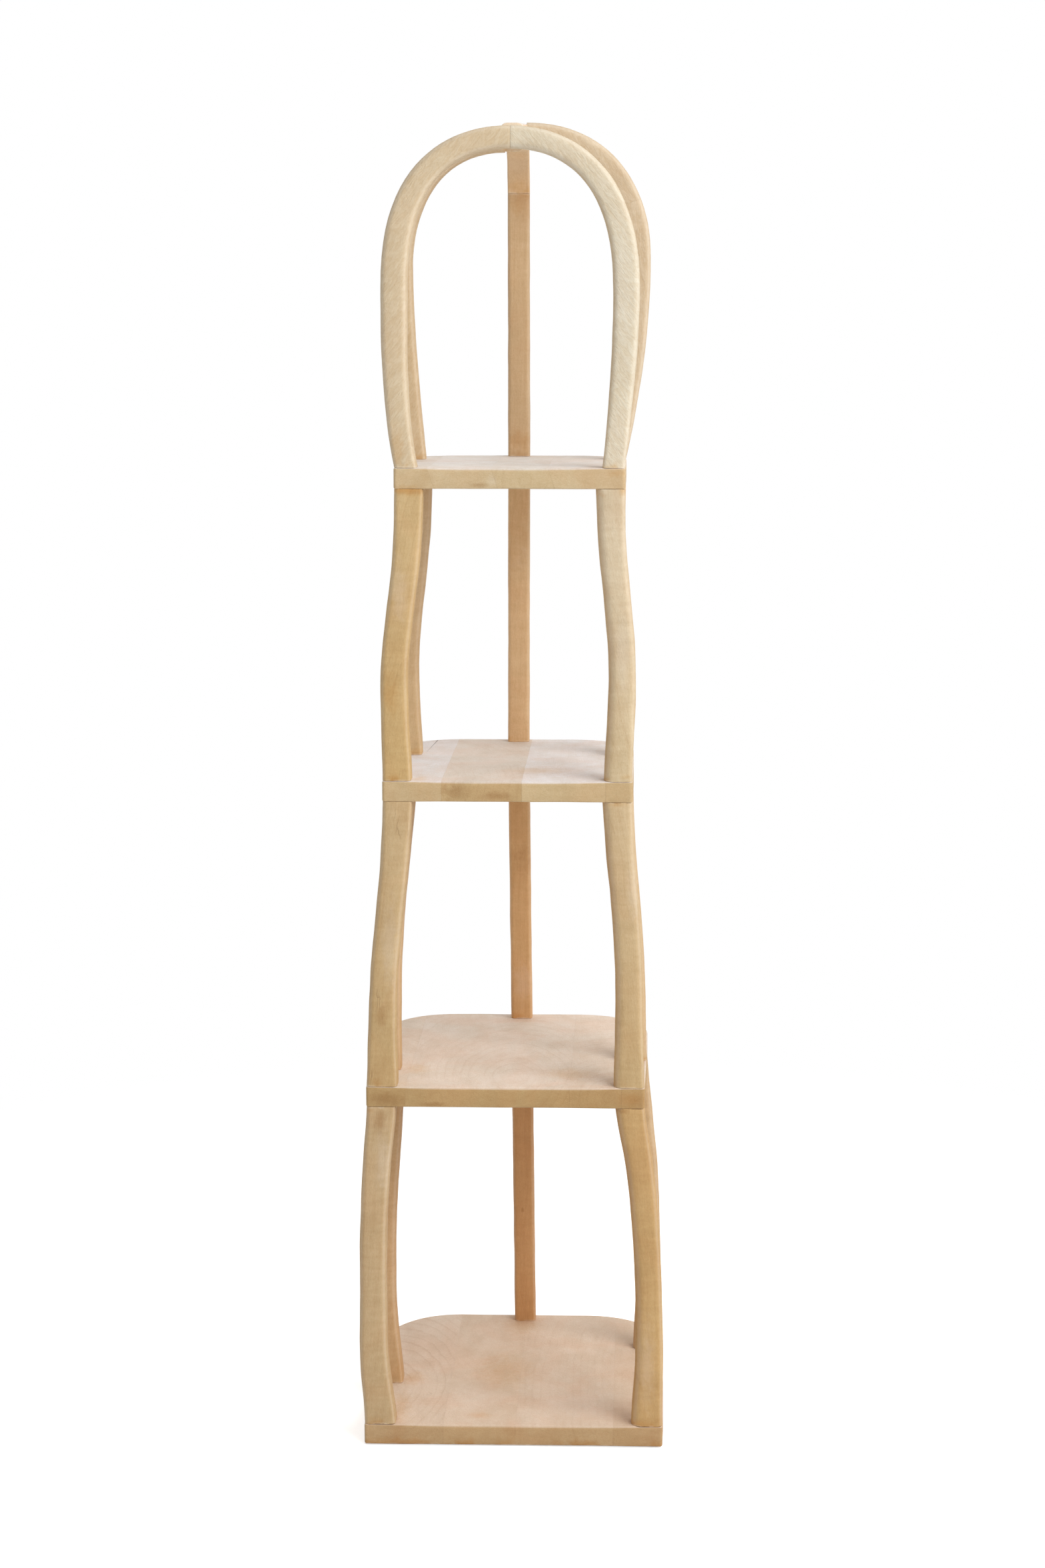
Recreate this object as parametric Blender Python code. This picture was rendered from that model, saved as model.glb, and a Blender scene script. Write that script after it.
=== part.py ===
"""Display shelf: four wooden shelves on five lines of sawn legs, closed by two arches at the top.

The front is at -Y, the floor is at Z = 0, and X = 0 is the seam at the crown of the front arch.
All lengths are in metres.
"""

import math

import bmesh
import bpy
from mathutils import Vector

# Fits between pieces
JOINT_GAP = 0.0003
DOWEL_CLEARANCE = 0.0003

# Shelves, listed from the bottom up
SHELF_NAMES = ("bottom_shelf", "second_shelf", "third_shelf", "top_shelf")
SHELF_WIDTHS = (0.4105, 0.380, 0.3385, 0.310)
SHELF_DEPTHS = (0.419, 0.394, 0.370, 0.329)
SHELF_OFFSETS = (0.001, -0.009, -0.0055, -0.002)
SHELF_THICKNESS = 0.028
SHELF_FRONT_CORNER = 0.004
SHELF_BACK_CORNER_SHARE = 0.26
SHELF_LEFT_BOWS = (0.001, 0.001, 0.001, 0.001)
SHELF_RIGHT_BOWS = (0.002, 0.001, 0.001, 0.0005)
SHELF_LEFT_SPREADS = (0, 0, 0.001, 0.0045)
SHELF_RIGHT_SPREADS = (0, 0.004, 0, 0)
SHELF_EDGE_ROUND = 0.0025

# Clear height from each shelf to the one above
TIER_NAMES = ("lower", "middle", "upper")
TIER_HEIGHTS = (0.446, 0.393, 0.395)

# Sawn legs, one value a tier from the bottom up
LEG_THICKNESS = 0.032
LEG_EDGE_ROUND = 0.009
LEG_FOOT_WIDTHS = (0.0425, 0.0420, 0.0385)
LEG_WAIST_WIDTHS = (0.0365, 0.0370, 0.0365)
LEG_HEAD_WIDTHS = (0.0400, 0.0405, 0.0390)
LEG_FLARE_SHARE = 0.45
FRONT_LEG_INSET = 0.0005
SIDE_LEG_INSET = 0.0005
SIDE_LEG_WIDTH_SHARE = 0.97

# How far each leg swings outwards at one to four fifths of its height, as shares of its waist
FRONT_LEFT_SWAY_SHARES = ((0.25, 0.29, 0.30, 0.19), (0.115, 0.16, 0.09, 0.01), (0.17, 0.27, 0.13, -0.01))
FRONT_RIGHT_SWAY_SHARES = ((0.19, 0.30, 0.29, 0.14), (0.09, 0.16, 0.13, 0.03), (0.15, 0.26, 0.16, 0.02))
SIDE_LEFT_SWAY_SHARES = ((0.20, 0.26, 0.21, 0.07), (0.09, 0.15, 0.13, 0.05), (0.18, 0.25, 0.11, -0.02))
SIDE_RIGHT_SWAY_SHARES = ((0.17, 0.25, 0.28, 0.14), (0.12, 0.16, 0.09, 0), (0.17, 0.21, 0.07, -0.05))

# How far back each side leg stands, as a share of the depth of the shelf on top of it
SIDE_LEFT_DEPTH_SHARES = (0.37, 0.22, 0.667)
SIDE_RIGHT_DEPTH_SHARES = (0.707, 0.373, 0.65)

# Back post, whose offsets from the arch seam are listed from the bottom shelf up
POST_WIDTH = 0.031
POST_THICKNESS = 0.026
POST_INSET = 0.001
POST_EDGE_ROUND = 0.006
POST_OFFSETS = (0.001, -0.0025, -0.0055, -0.0025)

# Front arch, measured from the top of the top shelf
ARCH_THICKNESS = 0.032
ARCH_FOOT_WIDTH = 0.030
ARCH_WAIST_WIDTH = 0.0355
ARCH_CROWN_WIDTH = 0.030
ARCH_EDGE_ROUND = 0.009
FRONT_ARCH_HEIGHT = 0.4540
FRONT_ARCH_BULGES = (0.0175, 0.0195)
FRONT_LEAN_SHARES = (0.90, 0.45)
FRONT_BELLY_SHARE = 0.53
FRONT_LIFT_SHARES = (0.415, 0.385)
FRONT_DRAW_SHARES = (0.385, 0.43)

# Side arch, which rises above the front arch, its left half less than its right half
SIDE_ARCH_DEPTH_SHARE = 0.645
SIDE_ARCH_RISES = (0.0070, 0.0180)
SIDE_ARCH_BULGES = (0.0235, 0.0345)
SIDE_LEAN_SHARES = (0.35, 0.60)
SIDE_BELLY_SHARE = 0.60
SIDE_LIFT_SHARES = (0.115, 0.235)
SIDE_DRAW_SHARES = (0.76, 0.72)
SHOULDER_SEAM_SHARES = (0.86, 0.765)
SHOULDER_SEAM_ANGLE = math.radians(20)

# Rafter from the back post forward to the front arch
RAFTER_WIDTH = 0.031
RAFTER_HEIGHT = 0.0385
RAFTER_RISE = 0.095
RAFTER_BEND_RUN = 0.081
RAFTER_DROP = 0.013
RAFTER_EDGE_ROUND = 0.008

# Dowels and glides
DOWEL_DIAMETER = 0.008
DOWEL_REACH = 0.022
DOWEL_BLIND_DEPTH = 0.016
RAFTER_DOWEL_DEPTH = 0.010
GLIDE_DIAMETER = 0.024
GLIDE_THICKNESS = 0.0015
GLIDE_INSET = 0.006

# Fineness of the solids
LEG_RINGS = 8
OUTLINE_STEPS = 9
ROUND_STEPS = 2
DOWEL_SIDES = 12
GLIDE_SIDES = 24
CIRCLE_HANDLE_SHARE = 0.5523
SMOOTH_ANGLE = math.radians(40)
CORNER_ANGLE = math.radians(60)

# Wood and felt colours
SHELF_COLOUR = (0.665, 0.540, 0.420, 1.0)
LEG_COLOUR = (0.590, 0.425, 0.235, 1.0)
POST_COLOUR = (0.450, 0.280, 0.140, 1.0)
ARCH_COLOUR = (0.610, 0.450, 0.260, 1.0)
DOWEL_COLOUR = (0.640, 0.480, 0.300, 1.0)
FELT_COLOUR = (0.180, 0.175, 0.170, 1.0)
WOOD_ROUGHNESS = 0.55
FELT_ROUGHNESS = 0.95

FRONT_Y = -SHELF_DEPTHS[0] / 2
TOP = len(SHELF_NAMES) - 1
UP = Vector((0, 0, 1))
ACROSS = Vector((1, 0, 0))
BACKWARD = Vector((0, 1, 0))
SIDE_ARCH_HEIGHTS = tuple(FRONT_ARCH_HEIGHT + rise for rise in SIDE_ARCH_RISES)
LEFT = -1
RIGHT = 1
SIDES = (LEFT, RIGHT)
SIDE_WORDS = {LEFT: "left", RIGHT: "right"}


def clear_scene():
    """Remove every object that the file holds."""
    for item in list(bpy.data.objects):
        bpy.data.objects.remove(item, do_unlink=True)


def new_collection(name):
    """Make a collection in the scene."""
    collection = bpy.data.collections.new(name)
    bpy.context.scene.collection.children.link(collection)
    return collection


clear_scene()
PARTS = new_collection("display_shelf")
CUTTERS = new_collection("dowel_cutters")


def plain_material(name, colour, roughness):
    """Make a Principled material of one colour."""
    material = bpy.data.materials.new(name)
    material.use_nodes = True
    shader = material.node_tree.nodes["Principled BSDF"]
    shader.inputs["Base Color"].default_value = colour
    shader.inputs["Roughness"].default_value = roughness
    shader.inputs["Metallic"].default_value = 0
    return material


def finish_piece(bm, name, location, colour, roughness=WOOD_ROUGHNESS):
    """Turn a bmesh into a named object with its own material."""
    bmesh.ops.recalc_face_normals(bm, faces=bm.faces)
    mesh = bpy.data.meshes.new(name)
    bm.to_mesh(mesh)
    bm.free()
    mesh.shade_smooth()
    mesh.set_sharp_from_angle(angle=SMOOTH_ANGLE)
    mesh.materials.append(plain_material(name + "_finish", colour, roughness))
    piece = bpy.data.objects.new(name, mesh)
    piece.location = location
    PARTS.objects.link(piece)
    return piece


def round_edges(bm, edges, radius):
    """Round the given edges."""
    bmesh.ops.bevel(bm, geom=edges, offset=radius, segments=ROUND_STEPS, profile=0.5, affect="EDGES")


def along(values, share):
    """Read a smooth curve through evenly spaced values at a share of its length."""
    last = len(values) - 1
    place = share * last
    start = min(int(place), last - 1)
    step = place - start
    before = values[max(start - 1, 0)]
    here = values[start]
    there = values[start + 1]
    after = values[min(start + 2, last)]
    slope_here = (there - before) / 2
    slope_there = (after - here) / 2
    back = 1 - step
    rise = step * step * (1 + 2 * back)
    pull = step * back * back
    push = step * step * back
    return here + (there - here) * rise + slope_here * pull - slope_there * push


def flared(foot, waist, head, share):
    """Width of a bar that widens towards both ends."""
    from_foot = max(0, 1 - share / LEG_FLARE_SHARE)
    from_head = max(0, 1 - (1 - share) / LEG_FLARE_SHARE)
    return waist + (foot - waist) * from_foot**2 + (head - waist) * from_head**2


def shelf_bottom(index):
    """Height of a shelf's underside."""
    below = sum(TIER_HEIGHTS[:index]) + index * SHELF_THICKNESS
    return GLIDE_THICKNESS + JOINT_GAP + below


def shelf_top(index):
    """Height of a shelf's upper face."""
    return shelf_bottom(index) + SHELF_THICKNESS


def side_shape(index, side):
    """How far a shelf's left or right side bows out, and how far it spreads towards the back."""
    if side == LEFT:
        return SHELF_LEFT_BOWS[index], SHELF_LEFT_SPREADS[index]
    return SHELF_RIGHT_BOWS[index], SHELF_RIGHT_SPREADS[index]


def side_x(index, side, inset, depth=0):
    """Place across of a line that lies an inset in from a shelf's left or right edge, at a depth."""
    bow, spread = side_shape(index, side)
    straight = SHELF_DEPTHS[index] - SHELF_WIDTHS[index] * SHELF_BACK_CORNER_SHARE
    share = min(depth / straight, 1)
    reach = SHELF_WIDTHS[index] / 2 + spread * share + 4 * bow * share * (1 - share)
    return SHELF_OFFSETS[index] + side * (reach - inset)


def closed_outline(points, thickness):
    """Extrude a closed outline of curve points, each a place with its two handles or None for a corner."""
    data = bpy.data.curves.new("outline", "CURVE")
    data.dimensions = "2D"
    data.fill_mode = "BOTH"
    data.extrude = thickness / 2
    data.resolution_u = OUTLINE_STEPS
    spline = data.splines.new("BEZIER")
    spline.bezier_points.add(len(points) - 1)
    spline.use_cyclic_u = True
    for point, (place, before, after) in zip(spline.bezier_points, points):
        point.co = (*place, 0)
        point.handle_left_type = "VECTOR" if before is None else "FREE"
        point.handle_right_type = "VECTOR" if after is None else "FREE"
        if before is not None:
            point.handle_left = (place[0] + before[0], place[1] + before[1], 0)
        if after is not None:
            point.handle_right = (place[0] + after[0], place[1] + after[1], 0)
    guide = bpy.data.objects.new("outline", data)
    bpy.context.scene.collection.objects.link(guide)
    bpy.context.view_layer.update()
    mesh = bpy.data.meshes.new_from_object(guide.evaluated_get(bpy.context.evaluated_depsgraph_get()))
    bm = bmesh.new()
    bm.from_mesh(mesh)
    bmesh.ops.remove_doubles(bm, verts=bm.verts, dist=JOINT_GAP / 10)
    bpy.data.objects.remove(guide, do_unlink=True)
    bpy.data.meshes.remove(mesh)
    return bm


def rim_edges(bm):
    """Edges where the flat faces of an extruded outline meet its sides."""
    rims = []
    for edge in bm.edges:
        level = abs(edge.verts[0].co.z - edge.verts[1].co.z) < JOINT_GAP
        if level and len(edge.link_faces) == 2 and edge.calc_face_angle() > CORNER_ANGLE:
            rims.append(edge)
    return rims


def shelf_panel(index):
    """One shelf: crisp front corners, sides that bow out a little and wide round back corners."""
    half = SHELF_WIDTHS[index] / 2
    depth = SHELF_DEPTHS[index]
    front = SHELF_FRONT_CORNER
    back = SHELF_WIDTHS[index] * SHELF_BACK_CORNER_SHARE
    front_pull = front * CIRCLE_HANDLE_SHARE
    back_pull = back * CIRCLE_HANDLE_SHARE
    reach = (depth - front - back) / 3
    points = []
    for side in (RIGHT, LEFT):
        bow, spread = side_shape(index, side)
        swell = side * (bow * 4 + spread) / 3
        ease = side * (bow * 4 - spread) / 3
        far = side * (half + spread)
        corner = [
            ((side * (half - front), 0), None, (side * front_pull, 0)),
            ((side * half, front), (0, -front_pull), (swell, reach)),
            ((far, depth - back), (ease, -reach), (0, back_pull)),
            ((far - side * back, depth), (side * back_pull, 0), None),
        ]
        if side == LEFT:
            corner = [(place, after, before) for place, before, after in reversed(corner)]
        points += corner
    bm = closed_outline(points, SHELF_THICKNESS)
    round_edges(bm, rim_edges(bm), SHELF_EDGE_ROUND)
    centre_z = shelf_bottom(index) + SHELF_THICKNESS / 2
    return finish_piece(bm, SHELF_NAMES[index], (SHELF_OFFSETS[index], FRONT_Y, centre_z), SHELF_COLOUR)


def sawn_bar(name, foot, head, size_at, sway_at, edge_round, colour):
    """A bar with level cross sections between two places, bent sideways by its sway."""
    bm = bmesh.new()
    bmesh.ops.create_cube(bm, size=1)
    rising = [edge for edge in bm.edges if abs(edge.verts[0].co.z - edge.verts[1].co.z) > 0.5]
    bmesh.ops.subdivide_edges(bm, edges=rising, cuts=LEG_RINGS)
    for vert in bm.verts:
        share = vert.co.z + 0.5
        centre = (head - foot) * share
        width, thickness = size_at(share)
        vert.co.x = centre.x + sway_at(share) + vert.co.x * width
        vert.co.y = centre.y + vert.co.y * thickness
        vert.co.z = centre.z
    rising = [edge for edge in bm.edges if abs(edge.verts[0].co.z - edge.verts[1].co.z) > JOINT_GAP]
    round_edges(bm, rising, edge_round)
    return finish_piece(bm, name, foot, colour)


def leg_line(line, side, tier):
    """Inset, width share, depth behind the front and sways of a leg in one of the four leg lines."""
    if line == "front":
        sways = FRONT_LEFT_SWAY_SHARES if side == LEFT else FRONT_RIGHT_SWAY_SHARES
        return FRONT_LEG_INSET, 1, 0, sways[tier]
    depths = SIDE_LEFT_DEPTH_SHARES if side == LEFT else SIDE_RIGHT_DEPTH_SHARES
    sways = SIDE_LEFT_SWAY_SHARES if side == LEFT else SIDE_RIGHT_SWAY_SHARES
    depth = depths[tier] * SHELF_DEPTHS[tier + 1]
    return SIDE_LEG_INSET, SIDE_LEG_WIDTH_SHARE, depth, sways[tier]


def leg_ends(line, side, tier):
    """Centre of a leg's foot and of its head."""
    inset, width_share, depth, _ = leg_line(line, side, tier)
    y = FRONT_Y + depth + LEG_THICKNESS / 2
    foot_inset = inset + LEG_FOOT_WIDTHS[tier] * width_share / 2
    head_inset = inset + LEG_HEAD_WIDTHS[tier] * width_share / 2
    foot = Vector((side_x(tier, side, foot_inset, depth), y, shelf_top(tier) + JOINT_GAP))
    head = Vector((side_x(tier + 1, side, head_inset, depth), y, shelf_bottom(tier + 1) - JOINT_GAP))
    return foot, head


def sawn_leg(line, side, tier):
    """One leg of one tier, sawn to a soft S from a thick board."""
    foot, head = leg_ends(line, side, tier)
    _, width_share, _, sways = leg_line(line, side, tier)
    waist = LEG_WAIST_WIDTHS[tier] * width_share

    def size_at(share):
        width = flared(LEG_FOOT_WIDTHS[tier] * width_share, waist, LEG_HEAD_WIDTHS[tier] * width_share, share)
        return width, LEG_THICKNESS

    def sway_at(share):
        return side * waist * along((0, *sways, 0), share)

    name = f"{TIER_NAMES[tier]}_{line}_{SIDE_WORDS[side]}_leg"
    return sawn_bar(name, foot, head, size_at, sway_at, LEG_EDGE_ROUND, LEG_COLOUR)


def post_centre(index, z):
    """Centre of the back post at a shelf."""
    y = FRONT_Y + SHELF_DEPTHS[index] - POST_INSET - POST_THICKNESS / 2
    return Vector((POST_OFFSETS[index], y, z))


def back_post(name, foot, head):
    """One bar of the back post."""
    return sawn_bar(
        name, foot, head, lambda share: (POST_WIDTH, POST_THICKNESS), lambda share: 0, POST_EDGE_ROUND, POST_COLOUR
    )


def arch_half(side, depth, height, bulge, belly_share, shares, seam_x):
    """Half an arch in X and Z, from its foot on the top shelf to the seam at its crown."""
    foot_x = side_x(TOP, side, FRONT_LEG_INSET, depth)
    belly_x = foot_x + side * bulge
    belly_z = height * belly_share
    crown_z = height - ARCH_CROWN_WIDTH
    inner_foot_x = foot_x - side * ARCH_FOOT_WIDTH
    inner_belly_x = belly_x - side * ARCH_WAIST_WIDTH
    lean_share, lift_share, draw_share = shares
    lean = side * bulge * lean_share
    lift = height * lift_share
    draw = side * abs(foot_x) * draw_share
    ease = belly_z / 3
    points = [
        ((foot_x, 0), None, (lean, ease)),
        ((belly_x, belly_z), (0, -ease), (0, lift)),
        ((seam_x, height), (draw, 0), None),
        ((seam_x, crown_z), None, (draw, 0)),
        ((inner_belly_x, belly_z), (0, lift - ARCH_CROWN_WIDTH), (0, -ease)),
        ((inner_foot_x, 0), (lean, ease), None),
    ]
    bm = closed_outline(points, ARCH_THICKNESS)
    round_edges(bm, long_rims(bm, ((1, 0), (0, seam_x))), ARCH_EDGE_ROUND)
    return bm


def long_rims(bm, ends):
    """Rim edges of a sawn outline, without those of its end cuts, each an axis and a place on it."""
    rims = []
    for edge in rim_edges(bm):
        first, second = (vert.co for vert in edge.verts)
        if not any(max(abs(first[axis] - place), abs(second[axis] - place)) < JOINT_GAP for axis, place in ends):
            rims.append(edge)
    return rims


def place_arch(bm, name, depth):
    """Stand an arch piece on the top shelf, its front face a depth behind the front."""
    y = FRONT_Y + depth + ARCH_THICKNESS / 2
    piece = finish_piece(bm, name, (0, y, shelf_top(TOP) + JOINT_GAP), ARCH_COLOUR)
    piece.rotation_euler = (math.pi / 2, 0, 0)
    return piece


def side_arch_half(side, depth, seam_x):
    """Half of the side arch, before it is cut or placed."""
    number = SIDES.index(side)
    height = SIDE_ARCH_HEIGHTS[number]
    bulge = SIDE_ARCH_BULGES[number]
    shares = (SIDE_LEAN_SHARES[number], SIDE_LIFT_SHARES[number], SIDE_DRAW_SHARES[number])
    return arch_half(side, depth, height, bulge, SIDE_BELLY_SHARE, shares, seam_x)


def rafter_bar():
    """The curved bar from the back post forward to the front arch, in depth and height."""
    post_back = SHELF_DEPTHS[TOP] - POST_INSET
    post_front = post_back - POST_THICKNESS
    bend = post_back - RAFTER_BEND_RUN
    tip = ARCH_THICKNESS + JOINT_GAP
    top = max(SIDE_ARCH_HEIGHTS)
    under = top - RAFTER_HEIGHT
    seam = top - RAFTER_RISE
    points = [
        ((tip, top - RAFTER_DROP), None, None),
        ((bend, top), None, (RAFTER_BEND_RUN * CIRCLE_HANDLE_SHARE, 0)),
        ((post_back, seam), (0, RAFTER_RISE * CIRCLE_HANDLE_SHARE), None),
        ((post_front, seam), None, (0, (under - seam) * CIRCLE_HANDLE_SHARE)),
        ((bend, under), ((post_front - bend) * CIRCLE_HANDLE_SHARE, 0), None),
        ((tip, under - RAFTER_DROP), None, None),
    ]
    bm = closed_outline(points, RAFTER_WIDTH)
    round_edges(bm, long_rims(bm, ((1, seam), (0, tip))), RAFTER_EDGE_ROUND)
    place = (POST_OFFSETS[TOP], FRONT_Y, shelf_top(TOP) + JOINT_GAP)
    piece = finish_piece(bm, "rafter", place, POST_COLOUR)
    piece.rotation_euler = (math.pi / 2, 0, math.pi / 2)
    return piece


def cut_away(bm, place, normal):
    """Saw a piece off at a plane and close the cut."""
    geometry = bm.verts[:] + bm.edges[:] + bm.faces[:]
    bmesh.ops.bisect_plane(bm, geom=geometry, plane_co=place, plane_no=normal, clear_outer=True)
    open_edges = [edge for edge in bm.edges if edge.is_boundary]
    bmesh.ops.holes_fill(bm, edges=open_edges)
    return bm


def cylinder(radius, length, sides):
    """A cylinder along Z with closed ends."""
    bm = bmesh.new()
    bmesh.ops.create_cone(
        bm, cap_ends=True, segments=sides, radius1=radius, radius2=radius, depth=length
    )
    return bm


def dowel(name, centre, direction, length, holders):
    """A dowel and the holes that it sits in."""
    turn = direction.to_track_quat("Z", "Y").to_euler()
    pin = finish_piece(cylinder(DOWEL_DIAMETER / 2, length, DOWEL_SIDES), name, centre, DOWEL_COLOUR)
    pin.rotation_euler = turn
    hole = cylinder(DOWEL_DIAMETER / 2 + DOWEL_CLEARANCE, length + 2 * DOWEL_CLEARANCE, DOWEL_SIDES)
    mesh = bpy.data.meshes.new(name + "_hole")
    hole.to_mesh(mesh)
    hole.free()
    cutter = bpy.data.objects.new(name + "_hole", mesh)
    cutter.location = centre
    cutter.rotation_euler = turn
    cutter.hide_render = True
    cutter.display_type = "WIRE"
    CUTTERS.objects.link(cutter)
    for holder in holders:
        cut = holder.modifiers.new(cutter.name, "BOOLEAN")
        cut.operation = "DIFFERENCE"
        cut.solver = "EXACT"
        cut.object = cutter


def glide(name, x, y):
    """A thin felt disc under the bottom shelf."""
    disc = cylinder(GLIDE_DIAMETER / 2, GLIDE_THICKNESS, GLIDE_SIDES)
    return finish_piece(disc, name, (x, y, GLIDE_THICKNESS / 2), FELT_COLOUR, FELT_ROUGHNESS)


def foot_dowel(name, foot, index, shelf, leg):
    """A blind dowel from a shelf's upper face up into the bar that stands there."""
    length = DOWEL_BLIND_DEPTH + JOINT_GAP + DOWEL_REACH
    centre = Vector((foot.x, foot.y, shelf_top(index) - DOWEL_BLIND_DEPTH + length / 2))
    dowel(name, centre, UP, length, (shelf, leg))


def head_dowel(name, head, index, shelf, leg):
    """A blind dowel from a shelf's underside down into the bar that carries it."""
    length = DOWEL_BLIND_DEPTH + JOINT_GAP + DOWEL_REACH
    centre = Vector((head.x, head.y, shelf_bottom(index) + DOWEL_BLIND_DEPTH - length / 2))
    dowel(name, centre, UP, length, (shelf, leg))


def through_dowel(name, head, foot, index, holders):
    """A dowel through a shelf, from the bar below it into the bar above it."""
    length = SHELF_THICKNESS + 2 * JOINT_GAP + 2 * DOWEL_REACH
    middle = (head + foot) / 2
    centre = Vector((middle.x, middle.y, shelf_bottom(index) + SHELF_THICKNESS / 2))
    dowel(name, centre, UP, length, holders)


def build_shelf():
    """Build every piece from the floor up."""
    shelves = [shelf_panel(index) for index in range(len(SHELF_NAMES))]
    legs = {}
    posts = []
    for tier in range(len(TIER_NAMES)):
        for side in SIDES:
            for line in ("front", "side"):
                legs[line, side, tier] = sawn_leg(line, side, tier)
        foot = post_centre(tier, shelf_top(tier) + JOINT_GAP)
        head = post_centre(tier + 1, shelf_bottom(tier + 1) - JOINT_GAP)
        posts.append(back_post(TIER_NAMES[tier] + "_back_post", foot, head))

    # Back post above the top shelf, up to its seam with the rafter
    arch_base = shelf_top(TOP) + JOINT_GAP
    rafter_seam = arch_base + max(SIDE_ARCH_HEIGHTS) - RAFTER_RISE
    crown_foot = post_centre(TOP, arch_base)
    posts.append(back_post("crown_back_post", crown_foot, post_centre(TOP, rafter_seam - JOINT_GAP)))
    rafter = rafter_bar()

    # Front arch
    front_arch = {}
    for number, side in enumerate(SIDES):
        bulge = FRONT_ARCH_BULGES[number]
        shares = (FRONT_LEAN_SHARES[number], FRONT_LIFT_SHARES[number], FRONT_DRAW_SHARES[number])
        seam_x = side * JOINT_GAP / 2
        half = arch_half(side, 0, FRONT_ARCH_HEIGHT, bulge, FRONT_BELLY_SHARE, shares, seam_x)
        front_arch[side] = place_arch(half, "front_arch_" + SIDE_WORDS[side], 0)

    # Side arch, whose right half is jointed at the shoulder
    side_depth = SIDE_ARCH_DEPTH_SHARE * SHELF_DEPTHS[TOP]
    rafter_side = RAFTER_WIDTH / 2 + JOINT_GAP
    left_half = side_arch_half(LEFT, side_depth, POST_OFFSETS[TOP] - rafter_side)
    side_left = place_arch(left_half, "side_arch_left", side_depth)
    belly_x = side_x(TOP, RIGHT, FRONT_LEG_INSET, side_depth) + SIDE_ARCH_BULGES[1]
    seam = Vector((belly_x * SHOULDER_SEAM_SHARES[0], SIDE_ARCH_HEIGHTS[1] * SHOULDER_SEAM_SHARES[1], 0))
    rise = Vector((-math.sin(SHOULDER_SEAM_ANGLE), math.cos(SHOULDER_SEAM_ANGLE), 0))
    seam_x = POST_OFFSETS[TOP] + rafter_side
    right_leg = cut_away(side_arch_half(RIGHT, side_depth, seam_x), seam, rise)
    right_crook = cut_away(side_arch_half(RIGHT, side_depth, seam_x), seam + rise * JOINT_GAP, -rise)
    side_right = place_arch(right_leg, "side_arch_right_leg", side_depth)
    side_crook = place_arch(right_crook, "side_arch_right_crook", side_depth)

    # Dowels of the front legs and of the back post, straight through the shelves above the lowest
    for side in SIDES:
        word = SIDE_WORDS[side]
        foot, _ = leg_ends("front", side, 0)
        foot_dowel(f"dowel_bottom_shelf_front_{word}", foot, 0, shelves[0], legs["front", side, 0])
        for index in range(1, len(SHELF_NAMES)):
            _, head = leg_ends("front", side, index - 1)
            if index < TOP:
                foot, _ = leg_ends("front", side, index)
                above = legs["front", side, index]
            else:
                foot = Vector((side_x(TOP, side, FRONT_LEG_INSET + ARCH_FOOT_WIDTH / 2), head.y, arch_base))
                above = front_arch[side]
            name = f"dowel_{SHELF_NAMES[index]}_front_{word}"
            through_dowel(name, head, foot, index, (legs["front", side, index - 1], shelves[index], above))
    foot_dowel("dowel_bottom_shelf_back", post_centre(0, 0), 0, shelves[0], posts[0])
    for index in range(1, len(SHELF_NAMES)):
        place = post_centre(index, 0)
        name = f"dowel_{SHELF_NAMES[index]}_back"
        through_dowel(name, place, place, index, (posts[index - 1], shelves[index], posts[index]))

    # Dowels of the side legs, which stand clear of each other above and below a shelf
    for side in SIDES:
        word = SIDE_WORDS[side]
        for tier in range(len(TIER_NAMES)):
            foot, head = leg_ends("side", side, tier)
            leg = legs["side", side, tier]
            foot_dowel(f"dowel_{SHELF_NAMES[tier]}_over_{word}", foot, tier, shelves[tier], leg)
            if tier + 1 < TOP:
                name = f"dowel_{SHELF_NAMES[tier + 1]}_under_{word}"
                head_dowel(name, head, tier + 1, shelves[tier + 1], leg)
        arch_y = FRONT_Y + side_depth + ARCH_THICKNESS / 2
        foot = Vector((side_x(TOP, side, FRONT_LEG_INSET + ARCH_FOOT_WIDTH / 2, side_depth), arch_y, arch_base))
        above = side_left if side == LEFT else side_right
        through_dowel(f"dowel_top_shelf_side_{word}", head, foot, TOP, (leg, shelves[TOP], above))

    # Dowels of the crown
    front_y = FRONT_Y + ARCH_THICKNESS / 2
    crown_z = arch_base + FRONT_ARCH_HEIGHT - ARCH_CROWN_WIDTH / 2
    dowel("dowel_front_crown", Vector((0, front_y, crown_z)), ACROSS, 2 * DOWEL_REACH, front_arch.values())
    side_crown_z = arch_base + sum(SIDE_ARCH_HEIGHTS) / len(SIDE_ARCH_HEIGHTS) - ARCH_CROWN_WIDTH / 2
    side_crown = Vector((POST_OFFSETS[TOP], arch_y, side_crown_z))
    cross_length = 2 * (rafter_side + DOWEL_REACH)
    dowel("dowel_side_crown", side_crown, ACROSS, cross_length, (side_left, rafter, side_crook))
    tip = Vector((-DOWEL_DIAMETER, FRONT_Y + ARCH_THICKNESS + JOINT_GAP / 2, crown_z))
    tip_length = 2 * RAFTER_DOWEL_DEPTH + JOINT_GAP
    dowel("dowel_rafter_front", tip, BACKWARD, tip_length, (front_arch[LEFT], rafter))
    post_top = post_centre(TOP, rafter_seam)
    dowel("dowel_rafter_back", post_top, UP, 2 * DOWEL_REACH, (posts[-1], rafter))
    shoulder = Vector((seam.x, arch_y, arch_base + seam.y))
    shoulder_rise = Vector((rise.x, 0, rise.y))
    dowel("dowel_shoulder", shoulder, shoulder_rise, 2 * DOWEL_REACH, (side_right, side_crook))

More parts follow.
